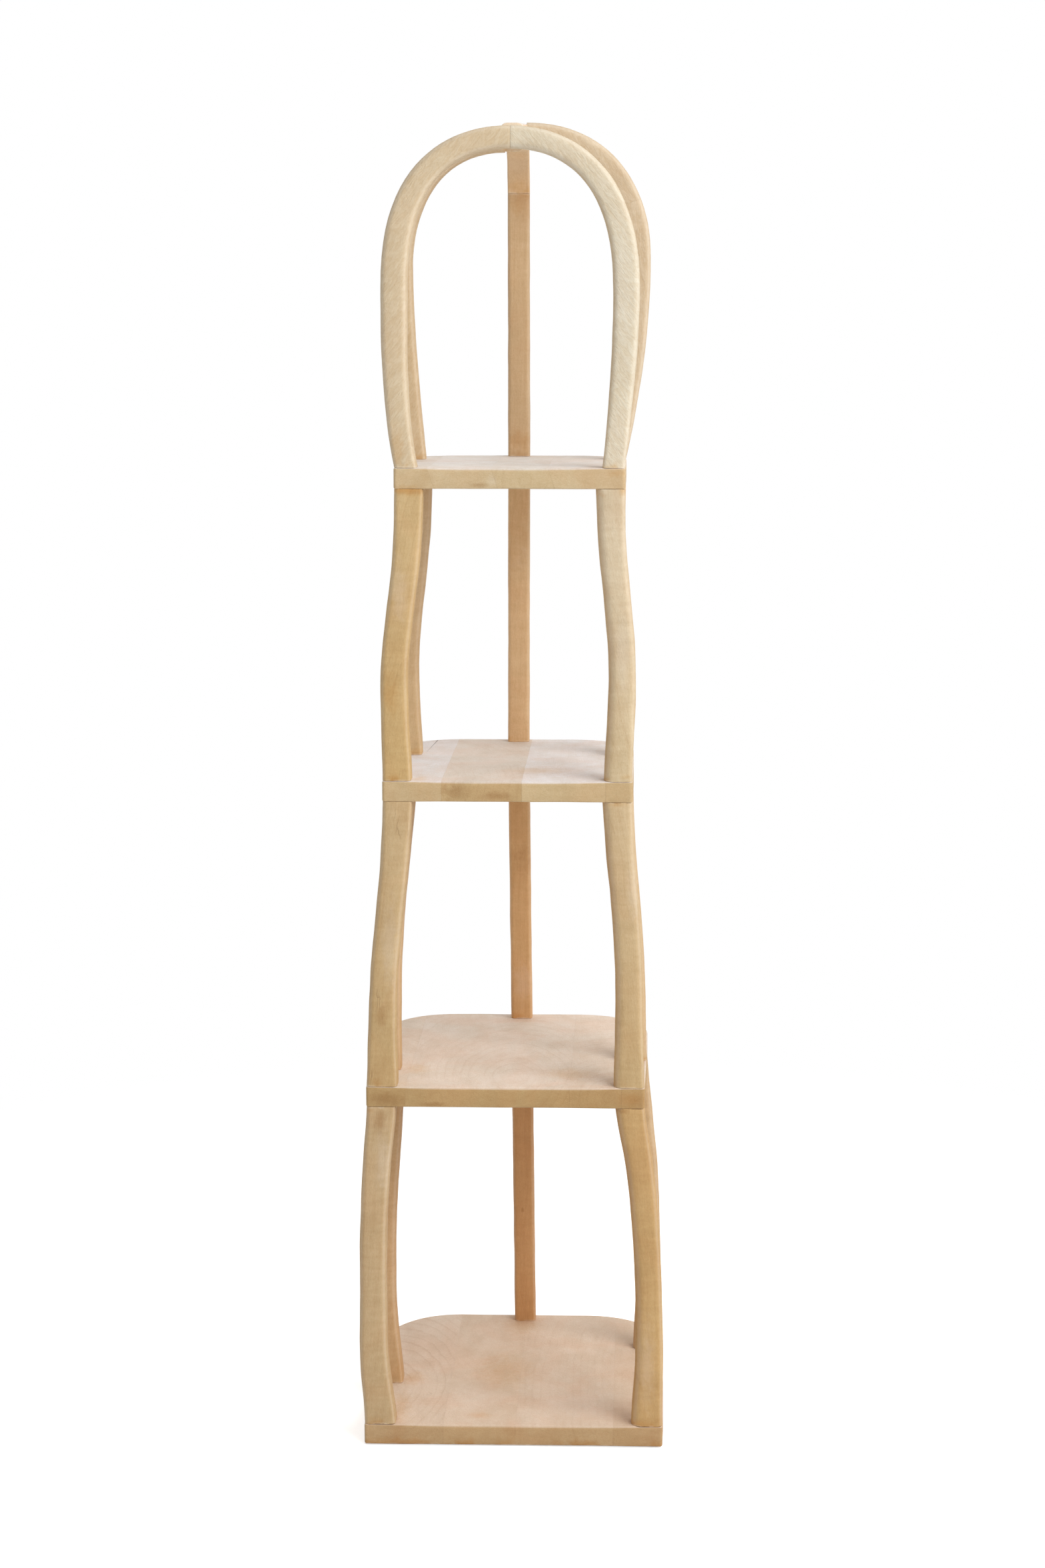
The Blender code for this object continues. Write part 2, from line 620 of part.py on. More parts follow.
    # Glides under the four corners of the bottom shelf
    inset = GLIDE_INSET + GLIDE_DIAMETER / 2
    corner = SHELF_WIDTHS[0] * SHELF_BACK_CORNER_SHARE
    for side in SIDES:
        word = SIDE_WORDS[side]
        glide("glide_front_" + word, side_x(0, side, inset), FRONT_Y + inset)
        glide("glide_back_" + word, side_x(0, side, corner), FRONT_Y + SHELF_DEPTHS[0] - inset)


build_shelf()
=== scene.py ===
"""Display shelf: sawn and sanded wood pieces with their finishes, on a pale studio floor.

The front is at -Y, the floor is at Z = 0, and all lengths are in metres.
"""

import math

import bmesh
import bpy
from bpy.props import FloatProperty, FloatVectorProperty, PointerProperty
from bpy.types import Operator, Panel, PropertyGroup
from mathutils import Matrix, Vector


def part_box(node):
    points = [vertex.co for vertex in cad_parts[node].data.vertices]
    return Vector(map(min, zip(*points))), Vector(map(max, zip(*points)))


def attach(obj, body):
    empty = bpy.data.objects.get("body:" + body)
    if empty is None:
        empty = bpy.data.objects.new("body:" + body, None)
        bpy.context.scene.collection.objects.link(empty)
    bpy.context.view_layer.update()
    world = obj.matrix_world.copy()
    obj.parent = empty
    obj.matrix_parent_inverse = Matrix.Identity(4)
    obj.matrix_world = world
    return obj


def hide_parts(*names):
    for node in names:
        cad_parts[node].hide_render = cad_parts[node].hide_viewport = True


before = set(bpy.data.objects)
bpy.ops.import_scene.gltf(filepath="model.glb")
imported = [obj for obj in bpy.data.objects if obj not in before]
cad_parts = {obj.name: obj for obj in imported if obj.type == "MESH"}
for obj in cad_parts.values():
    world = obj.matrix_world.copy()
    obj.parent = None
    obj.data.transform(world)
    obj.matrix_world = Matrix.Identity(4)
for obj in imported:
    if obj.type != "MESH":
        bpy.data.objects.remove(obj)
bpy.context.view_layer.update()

bl_info = {
    "name": "Display shelf",
    "version": (1, 0, 0),
    "blender": (4, 5, 0),
    "location": "3D View > Sidebar > Display shelf",
    "description": "Builds a tall wooden display shelf with sawn legs and arches",
    "category": "Object",
}

SHELF_NAMES = ("bottom_shelf", "second_shelf", "third_shelf", "top_shelf")
TIER_NAMES = ("lower", "middle", "upper")
TOP = len(SHELF_NAMES) - 1
LEFT = -1
RIGHT = 1
SIDES = (LEFT, RIGHT)
SIDE_WORDS = {LEFT: "left", RIGHT: "right"}
FRONT_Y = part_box("bottom_shelf")[0].y
JOINT_GAP = 0.0001

# How far each leg swings outwards at one to four fifths of its height, as shares of its waist, tier by tier
SWAYS = {
    ("front", LEFT): ((0.25, 0.29, 0.30, 0.19), (0.115, 0.16, 0.09, 0.01), (0.17, 0.27, 0.13, -0.01)),
    ("front", RIGHT): ((0.22, 0.33, 0.345, 0.25), (0.09, 0.16, 0.13, 0.03), (0.15, 0.26, 0.16, 0.02)),
    ("side", LEFT): ((0.20, 0.26, 0.21, 0.07), (0.09, 0.15, 0.13, 0.05), (0.18, 0.25, 0.11, -0.02)),
    ("side", RIGHT): ((0.17, 0.25, 0.28, 0.14), (0.12, 0.16, 0.09, 0), (0.17, 0.21, 0.07, -0.05)),
}

# Shares of an arch half's bulge, height and half width that shape its curve, left then right
FRONT_ARCH_CURVES = ((0.90, 0.415, 0.385), (0.45, 0.385, 0.43))
SIDE_ARCH_CURVES = ((0.35, 0.115, 0.76), (0.60, 0.235, 0.72))

# Pull that makes a curve a quarter circle, as a share of its radius
CIRCLE_HANDLE = 0.5523

# Steps along a leg, along a bar of the post, and along both parts of an arch half's and the rafter's curve
LEG_STEPS = 34
POST_STEPS = 28
ARCH_STEPS = (16, 26)
RAFTER_STEPS = (12, 16)

# Thickness of the block that a bar grows from
BAR_START = 0.0008

# Share of a bar's length over which its rounding fades towards an end that stands on something
END_EASE = 0.16

# Where the right legs' broadly rounded edge looks, and how much wider it is than the others
BROAD_EDGE = Vector((-1, -1, 0)).normalized()
BROAD_FACTOR = 1.5

# Faces across each rounded edge, and the least turn of an edge that is rounded on a bar and on a panel
ROUNDING_SEGMENTS = 5
BAR_TURN = math.radians(50)
PANEL_TURN = math.radians(45)

# Rounding of the edges round a bar's ends, and the least turn of an edge that counts as one
ARRIS = 0.0004
ARRIS_TURN = math.radians(60)

# How near a point lies to the middle of an end face, and to a line, to count as on it
AT_END = 0.0002
ON_LINE = 0.0005

# Distances from a bar's end between which the sanding sets in
SANDING_REACH = (0.002, 0.04)

# Rounding at the ends of a post's bar and at an arch's foot, as shares of their rounding elsewhere
POST_END_SHARE = 0.5
ARCH_END_SHARE = 0.4

# How much wider the rafter is rounded than the post, and the shares of its length between which that fades
RAFTER_FACTOR = 1.6
RAFTER_FADE = (0.2, 0.5)

# How far the fibres lean from upright in the front arch, in the side arch, and in its lower right piece
FRONT_ARCH_LEAN = math.radians(38)
SIDE_ARCH_LEAN = math.radians(30)
ARCH_LEG_LEAN = math.radians(4)

# Depth and grain of the unevenness that hand sanding leaves
BAR_SANDING = (0.0011, 0.045)
PANEL_SANDING = (0.0007, 0.06)

# A panel's widest rounding as a factor of its soft front edge, and the depth, pace and shift of its waves
SOFT_FACTOR = 1.5
EDGE_WAVES = ((0.0011, 61, 2.3), (0.0006, 137, 1))

# Cuts across a panel's straight sides and across its front, and faces round a back corner
SIDE_CUTS = 6
FRONT_STRIPS = 38
CORNER_SEGMENTS = 14

# Place inside a front leg between which a panel's front edge turns soft, and depth at which a side is plain
SOFT_START = (-0.004, 0.022)
PLAIN_DEPTH = 0.045

# Tints of a leg's colour at its foot and at its head; the darker, warmer foot is painted shade
FOOT_PAINTED_SHADE = (0.92, 0.87, 0.76)
HEAD_TINT = (1.0, 1.0, 1.0)

# The side that is browned as painted shade on the pieces right of the middle, where it turns from the lamp,
# and how strongly
PAINTED_SHADE_SIDE = (-1, 0, 0)
PAINTED_SHADE_STRENGTH = 0.42

# Tints within the wood, and the pale tint of the painted highlight on rounded edges
PALE_SHADE = (1.07, 1.085, 1.10, 1)
DARK_SHADE = (0.93, 0.905, 0.86, 1)
RELIEF_TINT = (0.955, 0.925, 0.88, 1)
SPECKLE_TINT = (0.91, 0.86, 0.79, 1)
RIM_HIGHLIGHT_WOOD = (0.93, 0.86, 0.76, 1)
BROWN_BOARD_TINT = (0.90, 0.82, 0.70, 1)

# How strongly rounded edges turn pale as painted highlight, and how strongly joints take stain and painted
# shade, glue beads whiten and cracks darken
RIM_HIGHLIGHT_SHARE = 0.45
STAIN_AND_SHADE_SHARE = 0.7
GLUE_SHARE = 0.22
CRACK_SHARE = 0.4

# Heights for a piece that has no joint at its foot or at its head
NO_FOOT = -1.0
NO_HEAD = 3.0

# How dark a joint's line is on most pieces, under the shelves, at the lowest feet and at the right heads
FAINT_LINE = 0.12
SHELF_LINE = 0.5
FOOT_LINE = 0.75
HEAD_LINE = 0.45

# How strongly each effect shows on each kind of piece
SHELF_FIGURE = {
    "Ring Spacing": 0.011, "Ring Wander": 0.03, "Rings": 0.34, "Streaks": 0.12, "Pores": 0.05, "Curl": 0.55,
    "Shades": 0.7, "Clouds": 0.5, "Cloud Scale": 9.0, "Cracks": 0.02, "Wear": 0.12,
}
LEG_FIGURE = {
    "Ring Spacing": 0.0075, "Ring Wander": 0.03, "Rings": 0.22, "Streaks": 0.18, "Pores": 0.05, "Curl": 0.4,
    "Clouds": 0.3, "Cloud Scale": 11.0, "Cracks": 0.04, "Wear": 0.25,
}
POST_FIGURE = {
    "Ring Spacing": 0.007, "Ring Wander": 0.02, "Rings": 0.22, "Streaks": 0.22, "Pores": 0.05, "Curl": 0.4,
    "Shades": 0.7, "Clouds": 0.3, "Cloud Scale": 10.0, "Cracks": 0.02, "Wear": 0.2,
}
ARCH_FIGURE = {
    "Ring Spacing": 0.008, "Ring Wander": 0.035, "Rings": 0.22, "Streaks": 0.17, "Pores": 0.02, "Curl": 0.15,
    "Relief": 1.0, "Shades": 0.6, "Clouds": 0.15, "Cloud Scale": 9.0, "Cracks": 0.02, "Wear": 0.35,
}
DOWEL_FIGURE = {"Rings": 0.1, "Streaks": 0.3, "Pores": 0.2, "Clouds": 0.1, "Wear": 0.0}
CRACKED_LEG = "middle_front_left_leg"
CRACKED_SHARE = 0.45

# What each kind of mark is mixed with, how, and by how much; stain marks are partly painted shade
MARK_KINDS = {
    "knot": ("knot", "MULTIPLY", 0.6),
    "stain": ("stain", "MULTIPLY", 0.4),
    "haze": ("haze", "SCREEN", 0.08),
    # Pale marks are painted highlights, mixed in the glue colour
    "pale": ("glue", "MIX", 0.7),
}

BOARD_WORDS = ("First", "Second", "Third", "Fourth")

# Seams across each shelf and their slant, then for each board where its heart meets the upper face,
# across and behind the front, how brown the board is and how clear its rings are
BOARDS = (
    (
        (-0.095, 0.0045, 0.139), 0.0,
        ((-0.178, 0.13, 0.1, 1.0), (-0.045, 0.36, 0.3, 0.15), (0.36, 0.16, 0.15, 0.6), (0.42, 0.1, 0.3, 0.3)),
    ),
    (
        (-0.145, 0.079, 0.150), 0.0,
        ((-0.19, 0.1, 0.4, 0.4), (0.0, 0.055, 0.2, 0.6), (0.135, -0.02, 0.3, 0.5), (0.20, 0.05, 0.5, 0.3)),
    ),
    (
        (-0.094, 0.0145, 0.128), 0.0,
        ((-0.13, 0.5, 0.0, 0.3), (-0.15, 0.02, 0.8, 0.45), (0.33, 0.24, 0.1, 0.25), (0.17, 0.0, 0.35, 0.3)),
    ),
    (
        (-0.102, -0.0165, 0.0595), 0.35,
        ((-0.2, 0.0, 0.3, 0.3), (-0.06, 0.5, 0.1, 0.3), (0.022, -0.03, 0.3, 0.5), (0.12, 0.2, 0.15, 0.3)),
    ),
)

# Marks on each piece: kind, place across, behind the front and up, then half width, depth and height; stains
# round the feet of legs and post are partly painted shade
MARKS = {
    "bottom_shelf": (
        ("stain", -0.045, 0.035, 0.030, 0.020, 0.012, 0.004),
        ("stain", -0.160, 0.06, 0.030, 0.016, 0.060, 0.006),
        ("stain", -0.150, 0.165, 0.030, 0.020, 0.030, 0.006),
        ("stain", -0.003, 0.38, 0.030, 0.035, 0.05, 0.006),
        ("haze", -0.06, 0.10, 0.030, 0.05, 0.07, 0.006), ("haze", 0.08, 0.07, 0.030, 0.06, 0.05, 0.006),
        ("stain", -0.02, 0.19, 0.030, 0.050, 0.08, 0.006),
    ),
    "second_shelf": (
        ("knot", -0.172, 0, 0.487, 0.030, 0.012, 0.013), ("stain", 0.163, 0, 0.488, 0.024, 0.012, 0.013),
        ("knot", -0.105, 0, 0.480, 0.020, 0.010, 0.004), ("haze", -0.02, 0.20, 0.504, 0.07, 0.09, 0.006),
        ("stain", 0.075, 0.07, 0.504, 0.040, 0.03, 0.006), ("haze", 0.0, 0.05, 0.504, 0.06, 0.025, 0.006),
        ("stain", -0.135, 0.09, 0.504, 0.02, 0.03, 0.006),
    ),
    "third_shelf": (
        ("knot", -0.075, 0, 0.911, 0.020, 0.012, 0.014), ("knot", -0.020, 0, 0.905, 0.026, 0.012, 0.007),
        ("haze", -0.03, 0.17, 0.925, 0.06, 0.09, 0.006), ("stain", 0.03, 0.09, 0.925, 0.05, 0.03, 0.006),
        ("stain", -0.125, 0.02, 0.925, 0.012, 0.03, 0.006),
    ),
    "top_shelf": (
        ("stain", -0.138, 0, 1.3215, 0.020, 0.02, 0.005), ("haze", -0.024, 0, 1.331, 0.008, 0.01, 0.010),
        ("knot", -0.040, 0, 1.325, 0.014, 0.01, 0.004), ("stain", 0.140, 0, 1.341, 0.012, 0.01, 0.006),
        ("haze", 0.04, 0.16, 1.348, 0.06, 0.08, 0.006),
    ),
    "lower_front_left_leg": (
        ("knot", -0.180, 0, 0.456, 0.009, 0.01, 0.019), ("haze", -0.175, 0, 0.40, 0.014, 0.01, 0.05),
    ),
    "lower_front_right_leg": (
        ("haze", 0.185, 0, 0.12, 0.012, 0.01, 0.07), ("knot", 0.149, 0.01, 0.040, 0.006, 0.02, 0.012),
        ("knot", 0.150, 0, 0.472, 0.012, 0.02, 0.004),
    ),
    "lower_side_left_leg": (("stain", -0.155, 0.15, 0.05, 0.02, 0.03, 0.03),),
    "middle_front_left_leg": (
        ("haze", -0.165, 0, 0.70, 0.014, 0.01, 0.07), ("knot", -0.178, 0, 0.60, 0.008, 0.01, 0.02),
    ),
    "middle_front_right_leg": (
        ("stain", 0.142, 0, 0.8945, 0.022, 0.02, 0.004), ("haze", 0.165, 0, 0.78, 0.01, 0.01, 0.05),
    ),
    "upper_front_left_leg": (
        ("stain", -0.162, 0, 1.045, 0.014, 0.01, 0.036), ("stain", -0.139, 0, 1.3165, 0.022, 0.02, 0.005),
        ("haze", -0.150, 0, 1.18, 0.014, 0.01, 0.05),
    ),
    "upper_front_right_leg": (("haze", 0.150, 0, 1.10, 0.014, 0.01, 0.06),),
    "lower_back_post": (
        ("knot", -0.002, 0.39, 0.205, 0.003, 0.03, 0.005), ("knot", 0.0, 0.39, 0.39, 0.02, 0.03, 0.03),
    ),
    "middle_back_post": (
        ("knot", 0.0, 0.37, 0.75, 0.02, 0.03, 0.03), ("haze", 0.0, 0.37, 0.56, 0.02, 0.03, 0.04),
    ),
    "upper_back_post": (
        ("knot", 0.0, 0.34, 1.28, 0.02, 0.03, 0.008), ("haze", 0.0, 0.34, 1.20, 0.02, 0.03, 0.03),
    ),
    "crown_back_post": (
        ("stain", 0.0, 0.31, 1.71, 0.02, 0.03, 0.02), ("stain", 0.0, 0.31, 1.37, 0.02, 0.03, 0.02),
    ),
    "rafter": (
        # The pale patch at the rafter's front end is a painted highlight
        ("stain", 0.0, 0.31, 1.735, 0.02, 0.03, 0.012), ("pale", -0.002, 0.035, 1.80, 0.05, 0.04, 0.04),
    ),
    "front_arch_left": (("stain", -0.152, 0, 1.375, 0.012, 0.01, 0.03),),
    "front_arch_right": (("haze", 0.150, 0, 1.58, 0.016, 0.01, 0.10),),
    "side_arch_right_leg": (("knot", 0.184, 0.22, 1.69, 0.004, 0.02, 0.012),),
}


def length_property(name, description, value):
    """A length that a user can change."""
    return FloatProperty(name=name, description=description, unit="LENGTH", default=value)


def lengths_property(name, description, values):
    """A row of lengths that a user can change."""
    return FloatVectorProperty(
        name=name, description=description, size=len(values), unit="LENGTH", default=values
    )


def share_property(name, description, value, low, high):
    """A share that a user can change."""
    return FloatProperty(
        name=name, description=description, subtype="FACTOR", default=value, min=low, max=high
    )


def shares_property(name, description, values):
    """A row of shares that a user can change."""
    return FloatVectorProperty(name=name, description=description, size=len(values), default=values)


def colour_property(name, description, value):
    """A colour that a user can change."""
    return FloatVectorProperty(
        name=name, description=description, subtype="COLOR", size=3, min=0, max=1, default=value
    )


class PanelSizes(PropertyGroup):
    """Sizes of the four shelf panels, each row from the bottom up."""

    widths: lengths_property("Widths", "Width of each shelf", (0.4105, 0.380, 0.3385, 0.310))
    depths: lengths_property("Depths", "Depth of each shelf", (0.419, 0.394, 0.370, 0.329))
    offsets: lengths_property(
        "Offsets", "How far each shelf's middle lies right of the arch seam", (0.001, -0.009, -0.0055, -0.002)
    )
    left_bows: lengths_property("Left bows", "How far each left side bows out", (0.001, 0.001, 0.001, 0.001))
    right_bows: lengths_property(
        "Right bows", "How far each right side bows out", (0.002, 0.001, 0.001, 0.0005)
    )
    left_spreads: lengths_property(
        "Left spreads", "How far each left side widens to the back", (0, 0, 0.001, 0.0045)
    )
    right_spreads: lengths_property(
        "Right spreads", "How far each right side widens to the back", (0, 0.004, 0, 0)
    )
    back_corner_share: share_property(
        "Back corners", "Radius of the back corners as a share of the width", 0.26, 0.05, 0.45
    )
    front_corner: length_property("Front corners", "Radius of the front corners", 0.004)
    soft_edge: length_property(
        "Soft front edge", "Rounding of the upper front edge between the legs", 0.0065
    )
    crisp_edge: length_property("Crisp edge", "Rounding of the edges where a leg stands", 0.0010)
    plain_edge: length_property("Plain edge", "Rounding of all other edges", 0.0025)


class LegSizes(PropertyGroup):
    """Sizes of the twelve sawn legs, each row from the lowest tier up."""

    foot_widths: lengths_property("Foot widths", "Width of a front leg's foot", (0.0425, 0.0420, 0.0385))
    waist_widths: lengths_property("Waist widths", "Width of a front leg's waist", (0.0365, 0.0370, 0.0365))
    head_widths: lengths_property("Head widths", "Width of a front leg's head", (0.0400, 0.0405, 0.0390))
    side_share: share_property(
        "Side legs", "Width of a side leg as a share of a front leg", 0.97, 0.5, 1.2
    )
    flare_share: share_property(
        "Flare", "Share of a leg's height over which each end widens", 0.45, 0.1, 0.5
    )
    thickness: length_property("Thickness", "Thickness of the board that a leg is sawn from", 0.032)
    inset: length_property("Inset", "How far a leg stands in from the shelf's edge", 0.0005)
    rounding: length_property("Rounding", "Rounding of the long edges", 0.009)
    end_rounding: length_property("End rounding", "Rounding of the long edges at foot and head", 0.0035)
    left_depth_shares: shares_property(
        "Left side legs", "How far back they stand, as shares of the shelf above", (0.37, 0.22, 0.667)
    )
    right_depth_shares: shares_property(
        "Right side legs", "How far back they stand, as shares of the shelf above", (0.707, 0.373, 0.65)
    )


class PostSizes(PropertyGroup):
    """Sizes of the back post and of the rafter that continues it."""

    width: length_property("Width", "Width of the post", 0.031)
    thickness: length_property("Thickness", "Depth of the post", 0.026)
    inset: length_property("Inset", "How far the post stands in from the back edge", 0.001)
    offsets: lengths_property(
        "Offsets", "How far the post lies right of the arch seam at each shelf",
        (0.001, -0.0025, -0.0055, -0.0025),
    )
    rounding: length_property("Rounding", "Rounding of the long edges", 0.006)
    rafter_height: length_property("Rafter height", "Height of the rafter's section", 0.0385)
    rafter_rise: length_property("Rafter rise", "From the post's seam to the top", 0.095)
    rafter_run: length_property("Rafter bend", "Depth over which the rafter bends", 0.081)
    rafter_drop: length_property("Rafter drop", "How much lower its front end lies", 0.013)
    rafter_swing: length_property("Rafter swing", "How far its front end lies to the right", 0.0036)


class ArchSizes(PropertyGroup):
    """Sizes of the front arch and of the side arch, each row left then right."""

    foot_width: length_property("Foot width", "Width at a foot", 0.030)
    waist_width: length_property("Waist width", "Width at the widest place", 0.0355)
    crown_width: length_property("Crown width", "Width at the crown", 0.030)
    thickness: length_property("Thickness", "Thickness of the board", 0.032)
    rounding: length_property("Rounding", "Rounding of the long edges", 0.009)
    front_height: length_property("Front height", "Height of the front arch", 0.454)
    side_heights: lengths_property("Side heights", "Height of each half of the side arch", (0.461, 0.472))
    front_bulges: lengths_property(
        "Front bulges", "How far each half of the front arch swells out", (0.0175, 0.0195)
    )
    side_bulges: lengths_property(
        "Side bulges", "How far each half of the side arch swells out", (0.0235, 0.0345)
    )
    front_belly: share_property(
        "Front belly", "Where the front arch is widest, as a share of its height", 0.53, 0.3, 0.8
    )
    side_belly: share_property(
        "Side belly", "Where the side arch is widest, as a share of its height", 0.60, 0.3, 0.8
    )
    side_depth_share: share_property(
        "Side arch depth", "How far back the side arch stands, as a share of the shelf", 0.645, 0.3, 0.9
    )
    seam_shares: shares_property(
        "Shoulder seam", "Place of the shoulder seam as shares of half width and height", (0.86, 0.765)
    )
    seam_angle: FloatProperty(
        name="Seam angle", description="Tilt of the shoulder seam", subtype="ANGLE", default=math.radians(20),
    )


class WoodColours(PropertyGroup):
    """Colours of the wood, piece by piece, and of what lies on it."""

    # The shelves' upper faces are paler and pinker than their edges, partly the wood's own tone and partly
    # painted sheen
    bottom_shelf: colour_property("Bottom shelf", "Upper face", (0.766, 0.634, 0.525))
    second_shelf: colour_property("Second shelf", "Upper face", (0.83, 0.745, 0.678))
    third_shelf: colour_property("Third shelf", "Upper face", (0.819, 0.806, 0.839))
    top_shelf: colour_property("Top shelf", "Upper face", (0.788, 0.768, 0.766))
    bottom_shelf_edge: colour_property("Bottom shelf edge", "Edges", (0.54, 0.377, 0.212))
    second_shelf_edge: colour_property("Second shelf edge", "Edges", (0.504, 0.354, 0.177))
    third_shelf_edge: colour_property("Third shelf edge", "Edges", (0.601, 0.473, 0.285))
    top_shelf_edge: colour_property("Top shelf edge", "Edges", (0.642, 0.523, 0.34))
    lower_front_left_leg: colour_property("Lower front left leg", "Wood", (0.564, 0.416, 0.244))
    lower_front_right_leg: colour_property("Lower front right leg", "Wood", (0.572, 0.38, 0.176))
    lower_side_left_leg: colour_property("Lower side left leg", "Wood", (0.6, 0.405, 0.225))
    lower_side_right_leg: colour_property("Lower side right leg", "Wood", (0.6, 0.425, 0.245))
    middle_front_left_leg: colour_property("Middle front left leg", "Wood", (0.59, 0.444, 0.258))
    middle_front_right_leg: colour_property("Middle front right leg", "Wood", (0.62, 0.477, 0.294))
    middle_side_left_leg: colour_property("Middle side left leg", "Wood", (0.64, 0.46, 0.28))
    middle_side_right_leg: colour_property("Middle side right leg", "Wood", (0.632, 0.469, 0.286))
    upper_front_left_leg: colour_property("Upper front left leg", "Wood", (0.618, 0.456, 0.244))
    upper_front_right_leg: colour_property("Upper front right leg", "Wood", (0.698, 0.596, 0.442))
    upper_side_left_leg: colour_property("Upper side left leg", "Wood", (0.69, 0.53, 0.345))
    upper_side_right_leg: colour_property("Upper side right leg", "Wood", (0.714, 0.551, 0.367))
    lower_back_post: colour_property("Lower back post", "Wood", (0.592, 0.337, 0.157))
    middle_back_post: colour_property("Middle back post", "Wood", (0.704, 0.445, 0.224))
    upper_back_post: colour_property("Upper back post", "Wood", (0.769, 0.541, 0.316))
    crown_back_post: colour_property("Crown back post", "Wood", (0.639, 0.457, 0.274))
    rafter: colour_property("Rafter", "Wood", (0.776, 0.574, 0.358))
    front_arch_left: colour_property("Front arch, left", "Wood", (0.669, 0.56, 0.4))
    front_arch_right: colour_property("Front arch, right", "Wood", (0.708, 0.645, 0.517))
    side_arch_left: colour_property("Side arch, left", "Wood", (0.675, 0.527, 0.344))
    side_arch_right_leg: colour_property("Side arch, right leg", "Wood", (0.644, 0.529, 0.381))
    side_arch_right_crook: colour_property("Side arch, right crook", "Wood", (0.644, 0.529, 0.381))
    dowels: colour_property("Dowels", "Hidden dowels", (0.64, 0.48, 0.30))
    grain: colour_property("Grain", "Tint of late wood, streaks and pores", (0.74, 0.62, 0.50))
    blush: colour_property("Blush", "Tint of pinkish heartwood", (1.0, 0.87, 0.80))
    glue: colour_property("Glue", "Dried glue along the joints", (0.86, 0.76, 0.62))
    crack: colour_property("Cracks", "Drying cracks and open joints", (0.20, 0.095, 0.035))
    # Tint of glue stains and of painted shade at the joints, round the feet and on sides turned from the lamp
    stain: colour_property("Stain", "Tint of glue stains at the joints", (0.88, 0.68, 0.42))
    knot: colour_property("Knot", "Tint of knots and dark swirls", (0.70, 0.58, 0.46))
    haze: colour_property("Haze", "Tint of bleached patches", (1.0, 1.0, 1.0))
    felt: colour_property("Felt", "Glides under the lowest shelf", (0.18, 0.175, 0.17))
    floor: colour_property("Floor", "Studio floor", (0.86, 0.86, 0.86))


# Modelling


def select_nothing():
    """Deselect every object."""
    if bpy.context.object and bpy.context.object.mode != "OBJECT":
        bpy.ops.object.mode_set(mode="OBJECT")
    bpy.ops.object.select_all(action="DESELECT")


def add_block(name, size, centre):
    """A block at its size and place, with its place in its mesh."""
    select_nothing()
    bpy.ops.mesh.primitive_cube_add(size=1, location=centre, scale=size)
    block = bpy.context.active_object
    block.name = name
    block.data.name = name
    bpy.ops.object.transform_apply(location=True, rotation=True, scale=True)
    return block


def pick(piece, kind, test):
    """Select the faces, edges or vertices of the piece in hand that pass a test."""
    bpy.ops.mesh.select_mode(type=kind)
    bpy.ops.mesh.select_all(action="DESELECT")
    bm = bmesh.from_edit_mesh(piece.data)
    items = {"FACE": bm.faces, "EDGE": bm.edges, "VERT": bm.verts}[kind]
    found = 0
    for item in items:
        if test(item):
            item.select_set(True)
            found += 1
    bmesh.update_edit_mesh(piece.data)
    if not found:
        raise RuntimeError(f"nothing to shape on {piece.name}")


def apply_modifier(modifier):
    """Apply a modifier of the piece in hand."""
    bpy.ops.object.modifier_apply(modifier=modifier.name)


def round_by_weight(piece, radius, weight_of):
    """Round edges by their own weights, each a share of the radius."""
    mesh = piece.data
    bm = bmesh.new()
    bm.from_mesh(mesh)
    layer = bm.edges.layers.float.new("bevel_weight_edge")
    for edge in bm.edges:
        edge[layer] = weight_of(edge)
    bm.to_mesh(mesh)
    bm.free()
    rounding = piece.modifiers.new("Rounded edges", "BEVEL")
    rounding.limit_method = "WEIGHT"
    rounding.offset_type = "OFFSET"
    rounding.width = radius
    rounding.segments = ROUNDING_SEGMENTS
    rounding.use_clamp_overlap = False
    apply_modifier(rounding)


def sand_by_hand(piece, strength, grain_size, weight_of=None):
    """Give the faces the soft unevenness of hand sanding."""
    cloud = bpy.data.textures.new("Sanding", "CLOUDS")
    cloud.noise_scale = grain_size
    cloud.noise_depth = 1
    sanding = piece.modifiers.new("Hand sanded", "DISPLACE")
    sanding.texture = cloud
    sanding.texture_coords = "LOCAL"
    sanding.strength = strength
    sanding.mid_level = 0.5
    if weight_of:
        group = piece.vertex_groups.new(name="Sanded")
        for vert in piece.data.vertices:
            group.add([vert.index], weight_of(vert.co), "REPLACE")
        sanding.vertex_group = group.name
    apply_modifier(sanding)
    piece.vertex_groups.clear()
    bpy.data.textures.remove(cloud)


def finish_piece(piece, node, material):
    """Smooth a piece, give it its finish and put it in place of its plain solid."""
    bpy.ops.object.shade_smooth_by_angle(angle=math.radians(38))
    piece.data.materials.clear()
    piece.data.materials.append(material)
    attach(piece, "root")
    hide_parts(node)


# Shapes


def shelf_bottom(index):
    """Height of a shelf's underside."""
    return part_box(SHELF_NAMES[index])[0].z


def shelf_top(index):
    """Height of a shelf's upper face."""
    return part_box(SHELF_NAMES[index])[1].z


def side_shape(index, side):
    """How far a shelf's left or right side bows out, and how far it spreads towards the back."""
    panels = bpy.context.scene.shelf_panels
    if side == LEFT:
        return panels.left_bows[index], panels.left_spreads[index]
    return panels.right_bows[index], panels.right_spreads[index]


def side_reach(index, side, depth):
    """How far a shelf's side lies out from its middle, at a depth behind the front."""
    panels = bpy.context.scene.shelf_panels
    bow, spread = side_shape(index, side)
    straight = panels.depths[index] - panels.widths[index] * panels.back_corner_share
    share = min(depth / straight, 1)
    return panels.widths[index] / 2 + spread * share + 4 * bow * share * (1 - share)


